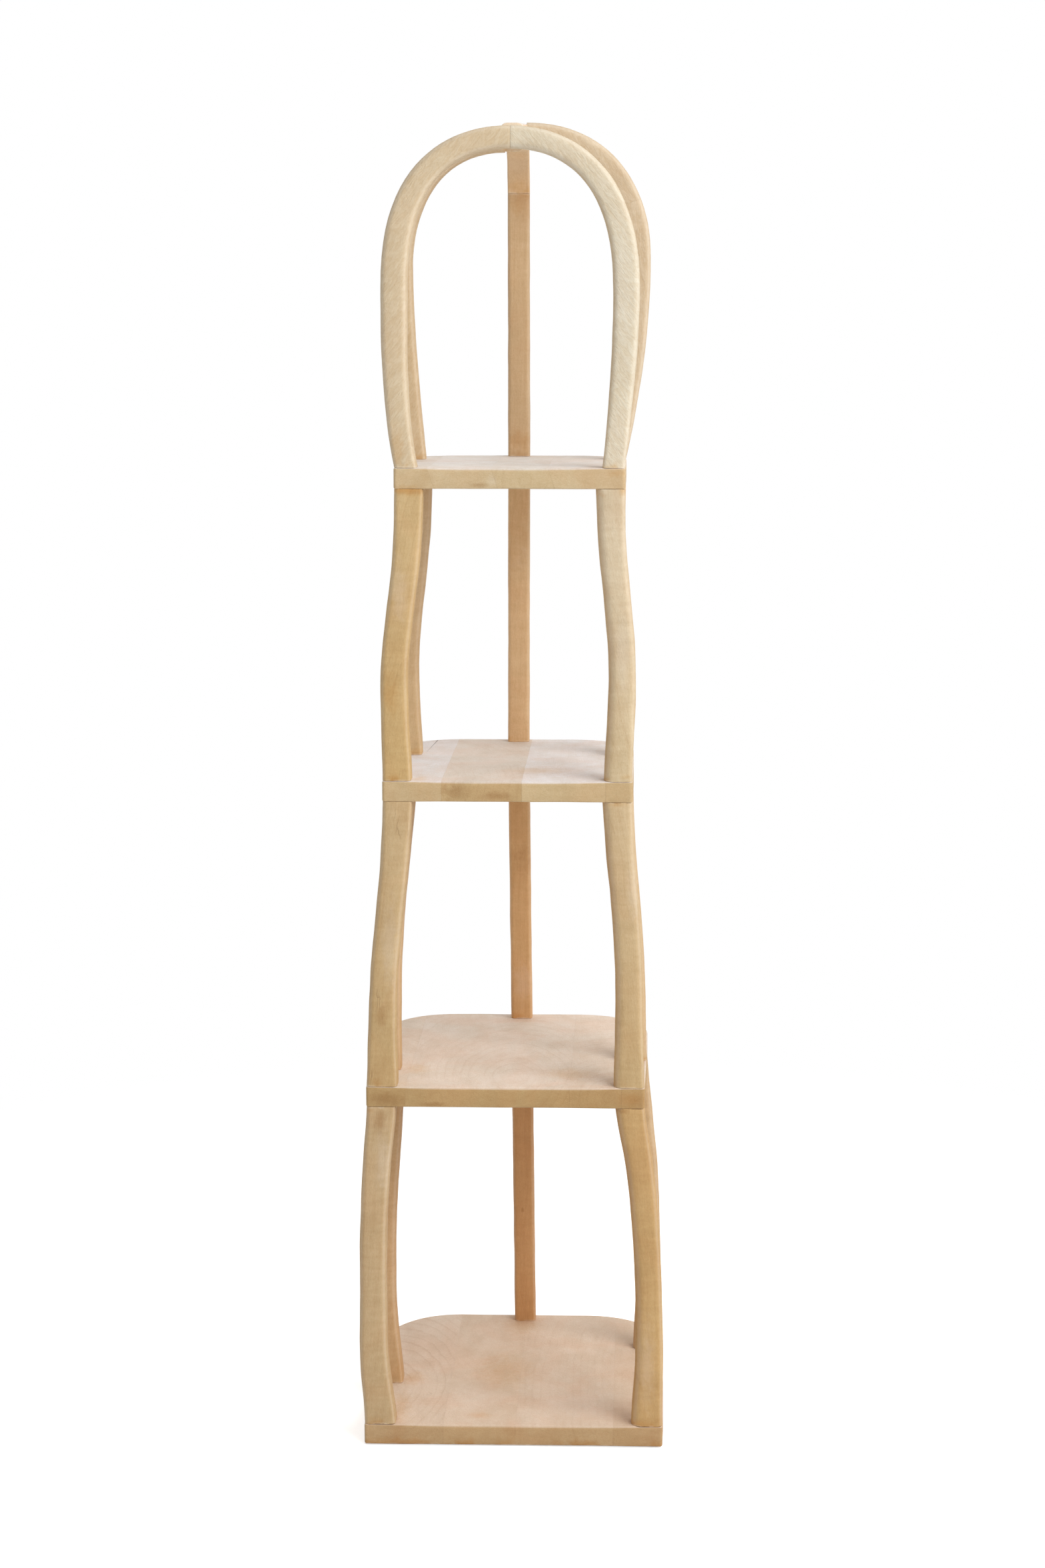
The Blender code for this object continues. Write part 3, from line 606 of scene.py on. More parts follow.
def side_x(index, side, inset, depth):
    """Place across of a line that lies an inset in from a shelf's left or right edge, at a depth."""
    panels = bpy.context.scene.shelf_panels
    return panels.offsets[index] + side * (side_reach(index, side, depth) - inset)


def along(values, share):
    """Read a smooth curve through evenly spaced values at a share of its length."""
    last = len(values) - 1
    place = share * last
    start = min(int(place), last - 1)
    step = place - start
    before = values[max(start - 1, 0)]
    here = values[start]
    there = values[start + 1]
    after = values[min(start + 2, last)]
    slope_here = (there - before) / 2
    slope_there = (after - here) / 2
    back = 1 - step
    rise = step * step * (1 + 2 * back)
    return here + (there - here) * rise + slope_here * step * back * back - slope_there * step * step * back


def smooth_share(value, low, high):
    """Ease from 0 at a low value to 1 at a high one."""
    share = min(max((value - low) / (high - low), 0), 1)
    return share * share * (3 - 2 * share)


def bezier(first, first_pull, last_pull, last, share):
    """A point on a curve between two points with their pulls."""
    back = 1 - share
    handle = first + first_pull
    other = last + last_pull
    return first * back**3 + handle * 3 * back**2 * share + other * 3 * back * share**2 + last * share**3


def draw_bar(name, rings, thickness, upright=True):
    """Grow a bar from a thin block, ring by ring, each ring a centre, a turn and a width."""
    centre, _, width = rings[0]
    if upright:
        grow = Vector((0, 0, 1))
        block_size = (width, thickness, BAR_START)
        turn_axis = "Y"
        turn_sign = 1
    else:
        grow = Vector((0, 1, 0))
        block_size = (thickness, BAR_START, width)
        turn_axis = "X"
        turn_sign = -1
    bar = add_block(name, block_size, centre + grow * BAR_START / 2)
    bpy.ops.object.mode_set(mode="EDIT")
    pick(bar, "FACE", lambda face: face.normal.dot(grow) > 0.9)
    here = centre + grow * BAR_START
    for before, ring in zip(rings, rings[1:]):
        centre, turn, width = ring
        bpy.ops.mesh.extrude_region_move(TRANSFORM_OT_translate={"value": centre - here})
        change = turn - before[1]
        if abs(change) > 1e-6:
            bpy.ops.transform.rotate(
                value=turn_sign * change, orient_axis=turn_axis, center_override=centre
            )
        ratio = width / before[2]
        scale = (ratio, 1, ratio) if upright else (1, ratio, ratio)
        bpy.ops.transform.resize(value=scale, center_override=centre)
        here = centre
    bpy.ops.mesh.select_all(action="SELECT")
    bpy.ops.mesh.normals_make_consistent(inside=False)
    bpy.ops.object.mode_set(mode="OBJECT")
    return bar


def round_bar(bar, rings, radius, end_radius, ends=(True, True), share_along=None, broad=None):
    """Round a bar's long edges, less towards the ends that stand on something, and ease both ends.

    The edge that looks in the broad direction, where one is given, is rounded wider than the others.
    """
    widest = radius * BROAD_FACTOR if broad else radius
    places = [ring[0] for ring in rings]
    lengths = [0]
    for here, there in zip(places, places[1:]):
        lengths.append(lengths[-1] + (there - here).length)
    total = lengths[-1]

    def length_at(point):
        """Length along the bar up to the ring nearest to a point."""
        nearest = min(range(len(places)), key=lambda number: (places[number] - point).length_squared)
        return lengths[nearest]

    def weight_of(edge):
        """Share of the widest rounding that an edge of the bar gets."""
        if len(edge.link_faces) < 2 or edge.calc_face_angle() < BAR_TURN:
            return 0
        for face in edge.link_faces:
            centre = face.calc_center_median()
            if min((centre - places[0]).length, (centre - places[-1]).length) < AT_END:
                return 0
        length = length_at((edge.verts[0].co + edge.verts[1].co) / 2)
        share = share_along(length / total) if share_along else 1
        if ends[0]:
            share = min(share, smooth_share(length, 0, total * END_EASE))
        if ends[1]:
            share = min(share, smooth_share(total - length, 0, total * END_EASE))
        size = end_radius + (radius - end_radius) * share
        if broad:
            looks = edge.link_faces[0].normal + edge.link_faces[1].normal
            if looks.normalized().dot(broad) > 0.8:
                size = widest
        return size / widest

    round_by_weight(bar, widest, weight_of)
    arris = bar.modifiers.new("Eased ends", "BEVEL")
    arris.limit_method = "ANGLE"
    arris.angle_limit = ARRIS_TURN
    arris.width = ARRIS
    arris.segments = 2
    apply_modifier(arris)
    finer = bar.modifiers.new("Finer faces", "SUBSURF")
    finer.subdivision_type = "SIMPLE"
    finer.levels = 1
    finer.render_levels = 1
    apply_modifier(finer)

    def sanded(point):
        """How strongly a point is sanded, which is least at the ends."""
        length = length_at(point)
        return smooth_share(min(length, total - length), *SANDING_REACH)

    sand_by_hand(bar, *BAR_SANDING, sanded)


def leg_line(line, side, tier):
    """Width share and depth behind the front of a leg in one of the four leg lines."""
    if line == "front":
        return 1, 0
    scene = bpy.context.scene
    panels, legs = scene.shelf_panels, scene.shelf_legs
    shares = legs.left_depth_shares if side == LEFT else legs.right_depth_shares
    return legs.side_share, shares[tier] * panels.depths[tier + 1]


def leg_rings(line, side, tier):
    """Rings of one leg from its foot to its head."""
    legs = bpy.context.scene.shelf_legs
    share, depth = leg_line(line, side, tier)
    foot_width = legs.foot_widths[tier] * share
    waist_width = legs.waist_widths[tier] * share
    head_width = legs.head_widths[tier] * share
    y = FRONT_Y + depth + legs.thickness / 2
    foot_x = side_x(tier, side, legs.inset + foot_width / 2, depth)
    foot = Vector((foot_x, y, shelf_top(tier) + JOINT_GAP))
    head_x = side_x(tier + 1, side, legs.inset + head_width / 2, depth)
    head = Vector((head_x, y, shelf_bottom(tier + 1) - JOINT_GAP))
    rings = []
    for number in range(LEG_STEPS + 1):
        place = number / LEG_STEPS
        from_foot = max(0, 1 - place / legs.flare_share)
        from_head = max(0, 1 - (1 - place) / legs.flare_share)
        width = waist_width + (foot_width - waist_width) * from_foot**2
        width += (head_width - waist_width) * from_head**2
        centre = foot + (head - foot) * place
        centre.x += side * waist_width * along((0, *SWAYS[line, side][tier], 0), place)
        rings.append((centre, 0, width))
    return rings


def both_edges(outer, inner, steps):
    """Step along two curves of two parts each, and give the points on both."""
    for part, count in enumerate(steps):
        for number in range(part, count + 1):
            yield bezier(*outer[part], number / count), bezier(*inner[part], number / count)


def arch_rings(side, depth, height, bulge, belly_share, shares, seam_x, base_z):
    """Rings of half an arch, from its foot on the top shelf to the seam at its crown."""
    scene = bpy.context.scene
    legs, arches = scene.shelf_legs, scene.shelf_arches
    foot_x = side_x(TOP, side, legs.inset, depth)
    belly_x = foot_x + side * bulge
    belly_z = height * belly_share
    lean = side * bulge * shares[0]
    lift = height * shares[1]
    draw = side * abs(foot_x) * shares[2]
    ease = belly_z / 3
    crown = arches.crown_width
    outer = (
        (Vector((foot_x, 0)), Vector((lean, ease)), Vector((0, -ease)), Vector((belly_x, belly_z))),
        (Vector((belly_x, belly_z)), Vector((0, lift)), Vector((draw, 0)), Vector((seam_x, height))),
    )
    inner_foot = Vector((foot_x - side * arches.foot_width, 0))
    inner_belly = Vector((belly_x - side * arches.waist_width, belly_z))
    inner = (
        (inner_foot, Vector((lean, ease)), Vector((0, -ease)), inner_belly),
        (inner_belly, Vector((0, lift - crown)), Vector((draw, 0)), Vector((seam_x, height - crown))),
    )
    y = FRONT_Y + depth + arches.thickness / 2
    rings = []
    for out, into in both_edges(outer, inner, ARCH_STEPS):
        across = (out - into) * side
        middle = (out + into) / 2
        centre = Vector((middle.x, y, base_z + middle.y))
        rings.append((centre, math.atan2(across.y, across.x), across.length))
    return rings


def rafter_rings(base_z):
    """Rings of the rafter, from its front end back and down to the seam on the post."""
    scene = bpy.context.scene
    panels, post, arches = scene.shelf_panels, scene.shelf_post, scene.shelf_arches
    back = panels.depths[TOP] - post.inset
    front = back - post.thickness
    bend = back - post.rafter_run
    tip = arches.thickness + JOINT_GAP
    top = max(arches.side_heights)
    under = top - post.rafter_height
    seam = top - post.rafter_rise
    level = Vector((1, 0))
    upright = Vector((0, 1))
    tip_top = Vector((tip, top - post.rafter_drop))
    bend_top = Vector((bend, top))
    tip_under = Vector((tip, under - post.rafter_drop))
    bend_under = Vector((bend, under))
    run = (bend_top - tip_top) / 3
    outer = (
        (tip_top, run, -run, bend_top),
        (
            bend_top, level * post.rafter_run * CIRCLE_HANDLE,
            upright * post.rafter_rise * CIRCLE_HANDLE, Vector((back, seam)),
        ),
    )
    inner = (
        (tip_under, run, -run, bend_under),
        (
            bend_under, level * (front - bend) * CIRCLE_HANDLE,
            upright * (under - seam) * CIRCLE_HANDLE, Vector((front, seam)),
        ),
    )
    rings = []
    for out, into in both_edges(outer, inner, RAFTER_STEPS):
        across = out - into
        middle = (out + into) / 2
        swing = post.rafter_swing * (1 - smooth_share(middle.x, tip, back))
        centre = Vector((post.offsets[TOP] + swing, FRONT_Y + middle.x, base_z + middle.y))
        rings.append((centre, math.atan2(across.y, across.x) - math.pi / 2, across.length))
    return rings


def make_panel(index):
    """One shelf panel with bowed sides, wide round back corners and a soft front edge."""
    scene = bpy.context.scene
    panels, legs = scene.shelf_panels, scene.shelf_legs
    name = SHELF_NAMES[index]
    width = panels.widths[index]
    depth = panels.depths[index]
    offset = panels.offsets[index]
    low = shelf_bottom(index)
    high = shelf_top(index)
    centre = (offset, FRONT_Y + depth / 2, (low + high) / 2)
    panel = add_block(name + "_panel", (width, depth, high - low), centre)
    bpy.ops.object.mode_set(mode="EDIT")

    # Bow and spread of the sides
    straight = depth - width * panels.back_corner_share
    cuts = [straight * number / SIDE_CUTS for number in range(1, SIDE_CUTS)]
    for cut in cuts:
        bpy.ops.mesh.select_all(action="SELECT")
        bpy.ops.mesh.bisect(plane_co=(0, FRONT_Y + cut, 0), plane_no=(0, 1, 0))
    for line in (*cuts, depth):
        for side in SIDES:

            def on_line(vert, side=side, line=line):
                """Whether a vertex lies on this side's line across."""
                outer = (vert.co.x - offset) * side > width / 4
                return outer and abs(vert.co.y - FRONT_Y - line) < ON_LINE

            pick(panel, "VERT", on_line)
            out = side_reach(index, side, line) - width / 2
            bpy.ops.transform.translate(value=(side * out, 0, 0))

    # Round back corners seen from above
    def back_corner(edge):
        """Whether an edge is one of the two upright ones at the back."""
        rise = abs(edge.verts[0].co.z - edge.verts[1].co.z)
        return rise > (high - low) / 2 and abs(edge.verts[0].co.y - FRONT_Y - depth) < ON_LINE

    pick(panel, "EDGE", back_corner)
    bpy.ops.mesh.bevel(
        offset=width * panels.back_corner_share, segments=CORNER_SEGMENTS, affect="EDGES",
        clamp_overlap=False,
    )

    # Lines across the panel that let its front edge change along its length
    first = offset - width / 2 + panels.front_corner * 1.5
    last = offset + width / 2 - panels.front_corner * 1.5
    for number in range(FRONT_STRIPS + 1):
        bpy.ops.mesh.select_all(action="SELECT")
        place = first + (last - first) * number / FRONT_STRIPS
        bpy.ops.mesh.bisect(plane_co=(place, 0, 0), plane_no=(1, 0, 0))
    bpy.ops.mesh.select_all(action="SELECT")
    bpy.ops.mesh.remove_doubles(threshold=0.00005)
    bpy.ops.mesh.normals_make_consistent(inside=False)
    bpy.ops.object.mode_set(mode="OBJECT")

    feet = legs.foot_widths[min(index, len(TIER_NAMES) - 1)]
    inner_left = offset - width / 2 + feet
    inner_right = offset + width / 2 - feet
    widest = panels.soft_edge * SOFT_FACTOR

    def weight_of(edge):
        """Share of the widest rounding that an edge of the panel gets."""
        if len(edge.link_faces) < 2 or edge.calc_face_angle() < PANEL_TURN:
            return 0
        if all(abs(face.normal.z) < 0.5 for face in edge.link_faces):
            return panels.front_corner / widest
        middle = (edge.verts[0].co + edge.verts[1].co) / 2
        behind = middle.y - FRONT_Y
        inside = min(middle.x - inner_left, inner_right - middle.x)
        if behind > panels.front_corner * 1.2:
            share = smooth_share(behind, panels.front_corner, PLAIN_DEPTH)
            radius = panels.crisp_edge + (panels.plain_edge - panels.crisp_edge) * share
        else:
            share = smooth_share(inside, *SOFT_START)
            wave = sum(swell * math.sin(middle.x * pace + index * shift) for swell, pace, shift in EDGE_WAVES)
            full = panels.soft_edge + wave if middle.z > (low + high) / 2 else panels.plain_edge
            radius = panels.crisp_edge + (full - panels.crisp_edge) * share
        return radius / widest

    round_by_weight(panel, widest, weight_of)
    sand_by_hand(panel, *PANEL_SANDING)
    return panel


# Node helpers


def set_inputs(tree, node, inputs):
    """Set a node's inputs, or link those that are given a socket."""
    for key, value in inputs.items():
        if isinstance(value, bpy.types.NodeSocket):
            tree.links.new(value, node.inputs[key])
        else:
            node.inputs[key].default_value = value


def add_node(tree, kind, inputs=None, **settings):
    """Add a node with its options and inputs."""
    node = tree.nodes.new("ShaderNode" + kind)
    for key, value in settings.items():
        setattr(node, key, value)
    set_inputs(tree, node, inputs or {})
    return node


def maths(tree, operation, first, second=0.0, third=0.0, clamp=False):
    """A maths node on sockets or numbers."""
    node = add_node(tree, "Math", {0: first, 1: second, 2: third}, operation=operation, use_clamp=clamp)
    return node.outputs[0]


def times(tree, first, second):
    """Multiply two values."""
    return maths(tree, "MULTIPLY", first, second)


def vector_maths(tree, operation, first, second=None, scale=None, output=0):
    """A vector maths node."""
    inputs = {0: first}
    if second is not None:
        inputs[1] = second
    if scale is not None:
        inputs["Scale"] = scale
    return add_node(tree, "VectorMath", inputs, operation=operation).outputs[output]


def smooth_step(tree, value, low, high, start=0.0, end=1.0):
    """Ease a value from start to end between low and high."""
    inputs = {"Value": value, "From Min": low, "From Max": high, "To Min": start, "To Max": end}
    return add_node(tree, "MapRange", inputs, interpolation_type="SMOOTHSTEP").outputs[0]


def mix_colour(tree, share, first, second, blend="MIX"):
    """Mix two colours."""
    node = add_node(tree, "Mix", {0: share, 6: first, 7: second}, data_type="RGBA", blend_type=blend)
    return node.outputs[2]


def tinted(tree, share, colour, tint):
    """Multiply a colour by a tint, as far as a share says."""
    return mix_colour(tree, share, colour, tint, "MULTIPLY")


def noise(tree, vector, scale, detail=2.0, roughness=0.5, distortion=0.0, output=0):
    """A noise texture's value, or its colour as output 1."""
    inputs = {
        "Vector": vector, "Scale": scale, "Detail": detail, "Roughness": roughness,
        "Distortion": distortion,
    }
    return add_node(tree, "TexNoise", inputs).outputs[output]


def stretched(tree, vector, scale):
    """A vector scaled along each axis."""
    return vector_maths(tree, "MULTIPLY", vector, scale)


SOCKET_KINDS = {"v": "NodeSocketVector", "f": "NodeSocketFloat", "c": "NodeSocketColor"}


def new_group(name, inputs, outputs):
    """An effect that several finishes share, with named inputs and outputs."""
    group = bpy.data.node_groups.new(name, "ShaderNodeTree")
    for socket_name, kind, value in inputs:
        socket = group.interface.new_socket(name=socket_name, in_out="INPUT", socket_type=SOCKET_KINDS[kind])
        if value is not None:
            socket.default_value = value
    for socket_name, kind in outputs:
        group.interface.new_socket(name=socket_name, in_out="OUTPUT", socket_type=SOCKET_KINDS[kind])
    entry = group.nodes.new("NodeGroupInput")
    leave = group.nodes.new("NodeGroupOutput")
    return group, entry.outputs, leave.inputs


def use_group(tree, group, inputs):
    """Place a shared effect in a finish."""
    node = tree.nodes.new("ShaderNodeGroup")
    node.node_tree = group
    set_inputs(tree, node, inputs)
    return node.outputs


# Shared effects


def growth_rings():
    """Late wood lines round a pith that runs along Z."""
    group, entry, leave = new_group(
        "Growth rings", [("Vector", "v", None), ("Spacing", "f", 0.006), ("Wander", "f", 0.02)],
        [("Mask", "f")],
    )
    drift = noise(group, entry["Vector"], 5.5, 2.0, output=1)
    drift = vector_maths(group, "SUBTRACT", drift, (0.5, 0.5, 0.5))
    drift = vector_maths(group, "SCALE", drift, scale=entry["Wander"])
    moved = vector_maths(group, "ADD", entry["Vector"], drift)
    radius = vector_maths(group, "LENGTH", stretched(group, moved, (1, 1, 0)), output=1)
    count = maths(group, "DIVIDE", radius, entry["Spacing"])
    ripple = noise(group, stretched(group, entry["Vector"], (1, 1, 0.2)), 90.0, 2.0)
    count = maths(group, "MULTIPLY_ADD", ripple, 0.35, count)
    part = maths(group, "FRACT", count)
    rise = smooth_step(group, part, 0.60, 0.94)
    fall = smooth_step(group, part, 0.955, 1.0, 1.0, 0.0)
    line = times(group, rise, fall)
    year = add_node(group, "TexWhiteNoise", {"W": maths(group, "FLOOR", count)}, noise_dimensions="1D")
    strength = maths(group, "MULTIPLY_ADD", year.outputs[0], 0.7, 0.3)
    fade = smooth_step(group, noise(group, entry["Vector"], 11.0, 2.0), 0.36, 0.66, 0.25, 1.0)
    line = times(group, line, strength)
    group.links.new(times(group, line, fade), leave["Mask"])
    return group


def wood_fibres():
    """Streaks and short open pores that run along Z."""
    group, entry, leave = new_group(
        "Wood fibres", [("Vector", "v", None), ("Coarseness", "f", 1.0)], [("Streaks", "f"), ("Pores", "f")]
    )
    vector = vector_maths(group, "SCALE", entry["Vector"], scale=entry["Coarseness"])
    streaks = noise(group, stretched(group, vector, (1, 1, 0.06)), 420.0, 4.0, 0.65)
    bands = noise(group, stretched(group, vector, (1, 1, 0.05)), 75.0, 2.0)
    streaks = maths(group, "MULTIPLY_ADD", bands, 0.4, times(group, streaks, 0.6))
    group.links.new(smooth_step(group, streaks, 0.36, 0.64), leave["Streaks"])
    pores = noise(group, stretched(group, vector, (1, 1, 0.16)), 1100.0, 1.5)
    patches = noise(group, vector, 38.0, 2.0)
    pores = maths(group, "MULTIPLY_ADD", patches, 0.25, pores)
    group.links.new(smooth_step(group, pores, 0.66, 0.78), leave["Pores"])
    return group


def mottling():
    """Soft clouds in the wood, one kind pinkish and one kind pale and dark."""
    group, entry, leave = new_group(
        "Mottling", [("Place", "v", None), ("Vector", "v", None), ("Scale", "f", 12.0)],
        [("Blush", "f"), ("Shade", "f")],
    )
    cloud = noise(group, entry["Place"], entry["Scale"], 3.0, 0.55, 1.2)
    group.links.new(smooth_step(group, cloud, 0.36, 0.68), leave["Blush"])
    broad = noise(group, stretched(group, entry["Vector"], (1, 1, 0.45)), 17.0, 3.0, 0.6, 0.6)
    curl = noise(group, stretched(group, entry["Place"], (0.45, 0.45, 1.8)), 62.0, 3.0, 0.6, 0.4)
    shade = maths(group, "MULTIPLY_ADD", curl, 0.4, times(group, broad, 0.6))
    group.links.new(smooth_step(group, shade, 0.34, 0.66), leave["Shade"])
    return group


def drying_cracks():
    """Thin dark cracks that wander along Z, here and there."""
    group, entry, leave = new_group(
        "Drying cracks", [("Vector", "v", None), ("Amount", "f", 0.3)], [("Mask", "f")]
    )
    bend = noise(group, entry["Vector"], 40.0, 2.0, output=1)
    bend = vector_maths(group, "SCALE", bend, scale=0.006)
    vector = stretched(group, vector_maths(group, "ADD", entry["Vector"], bend), (1, 1, 0.09))
    cells = add_node(
        group, "TexVoronoi", {"Vector": vector, "Scale": 95.0}, feature="DISTANCE_TO_EDGE"
    ).outputs["Distance"]
    line = smooth_step(group, cells, 0.012, 0.045, 1.0, 0.0)
    place = noise(group, stretched(group, entry["Vector"], (1, 1, 0.35)), 26.0, 1.0)
    limit = maths(group, "SUBTRACT", 0.78, times(group, entry["Amount"], 0.4))
    shown = smooth_step(group, place, limit, maths(group, "ADD", limit, 0.06))
    group.links.new(times(group, line, shown), leave["Mask"])
    return group


def joint_marks():
    """Glue stain with painted contact shade, and open joint, at two heights."""
    group, entry, leave = new_group(
        "Joint marks",
        [
            ("Place", "v", None), ("Foot", "f", 0.0), ("Head", "f", 1.0), ("Reach", "f", 0.012),
            ("Foot Line", "f", FAINT_LINE), ("Head Line", "f", FAINT_LINE),
        ],
        [("Stain", "f"), ("Line", "f"), ("Glue", "f")],
    )
    z = add_node(group, "SeparateXYZ", {0: entry["Place"]}).outputs["Z"]
    below = maths(group, "ABSOLUTE", maths(group, "SUBTRACT", z, entry["Foot"]))
    above = maths(group, "ABSOLUTE", maths(group, "SUBTRACT", z, entry["Head"]))
    gap = maths(group, "MINIMUM", below, above)
    ragged = noise(group, entry["Place"], 85.0, 3.0)
    reach = times(group, entry["Reach"], times(group, ragged, 2.0))
    # Glue stain and painted contact shade near the joint heights
    near = smooth_step(group, gap, 0.0, reach, 1.0, 0.0)
    spots = smooth_step(group, noise(group, entry["Place"], 31.0, 1.0), 0.5, 0.62)
    group.links.new(times(group, near, spots), leave["Stain"])
    lines = [
        times(group, smooth_step(group, off, 0.0004, 0.0014, 1.0, 0.0), entry[strength])
        for off, strength in ((below, "Foot Line"), (above, "Head Line"))
    ]
    dashes = noise(group, entry["Place"], 150.0, 1.0)
    dark = smooth_step(group, dashes, 0.42, 0.56)
    line = maths(group, "MAXIMUM", *lines)
    group.links.new(times(group, line, dark), leave["Line"])
    bead = smooth_step(group, gap, 0.0012, 0.0028, 1.0, 0.0)
    pale = smooth_step(group, noise(group, entry["Place"], 55.0, 1.0), 0.46, 0.6)
    group.links.new(times(group, bead, pale), leave["Glue"])
    return group


def rounded_edge_highlight():
    """Rounded edges, found from how far the surface turns from a piece's flat faces, for a painted highlight.
    """
    group, entry, leave = new_group(
        "Worn edges", [("Normal", "v", None), ("Axis", "v", (0, 1, 0))], [("Mask", "f")]
    )
    facing = vector_maths(group, "DOT_PRODUCT", entry["Normal"], entry["Axis"], output=1)
    facing = maths(group, "ABSOLUTE", facing)
    aside = maths(group, "SUBTRACT", 1.0, times(group, facing, facing), clamp=True)
    aside = maths(group, "SQRT", aside)
    turned = maths(group, "SUBTRACT", 1.0, maths(group, "MAXIMUM", facing, aside))
    group.links.new(smooth_step(group, turned, 0.04, 0.24), leave["Mask"])
    return group


def glued_boards():
    """Boards laid side by side across X, each round its own pith, with a thin seam between them."""
    inputs = [("Place", "v", None), ("Slant", "f", 0.0)]
    for word in BOARD_WORDS:
        inputs += [
            (word + " Seam", "f", 1.0), (word + " Pith", "v", (0, 0, 0)), (word + " Shade", "f", 0.0),
            (word + " Rings", "f", 1.0),
        ]
    outputs = [("Vector", "v"), ("Seam", "f"), ("Shade", "f"), ("Rings", "f")]
    group, entry, leave = new_group("Glued boards", inputs, outputs)
    parts = add_node(group, "SeparateXYZ", {0: entry["Place"]}).outputs
    x = maths(group, "MULTIPLY_ADD", parts["Z"], entry["Slant"], parts["X"])
    wave = noise(group, entry["Place"], 14.0, 1.0)
    x = maths(group, "MULTIPLY_ADD", wave, 0.0012, x)
    pith = entry["First Pith"]
    shade = entry["First Shade"]
    rings = entry["First Rings"]
    gap = 1.0
    for word, other in zip(BOARD_WORDS, BOARD_WORDS[1:]):
        past = maths(group, "GREATER_THAN", x, entry[word + " Seam"])
        mixed = add_node(group, "Mix", {0: past, 4: pith, 5: entry[other + " Pith"]}, data_type="VECTOR")
        pith = mixed.outputs[1]
        shade = add_node(group, "Mix", {0: past, 2: shade, 3: entry[other + " Shade"]}).outputs[0]
        rings = add_node(group, "Mix", {0: past, 2: rings, 3: entry[other + " Rings"]}).outputs[0]
        off = maths(group, "ABSOLUTE", maths(group, "SUBTRACT", x, entry[word + " Seam"]))
        gap = maths(group, "MINIMUM", off, gap)
    group.links.new(vector_maths(group, "SUBTRACT", entry["Place"], pith), leave["Vector"])
    faint = smooth_step(group, noise(group, entry["Place"], 24.0, 1.0), 0.35, 0.6, 0.25, 1.0)
    line = smooth_step(group, gap, 0.0002, 0.0009, 1.0, 0.0)
    group.links.new(times(group, line, faint), leave["Seam"])
    group.links.new(shade, leave["Shade"])
    group.links.new(rings, leave["Rings"])
    return group


def mark():
    """A soft, ragged patch, the shape of an egg."""
    group, entry, leave = new_group(
        "Mark", [("Place", "v", None), ("Centre", "v", (0, 0, 0)), ("Size", "v", (0.02, 0.02, 0.02))],
        [("Mask", "f")],
    )
    off = vector_maths(group, "SUBTRACT", entry["Place"], entry["Centre"])
    far = vector_maths(group, "LENGTH", vector_maths(group, "DIVIDE", off, entry["Size"]), output=1)
    ragged = noise(group, stretched(group, entry["Place"], (1, 1, 0.6)), 110.0, 3.0, 0.6, 0.6)
    far = maths(group, "ADD", far, maths(group, "MULTIPLY_ADD", ragged, 1.5, -0.75))
    group.links.new(smooth_step(group, far, 0.1, 1.2, 1.0, 0.0), leave["Mask"])
    return group


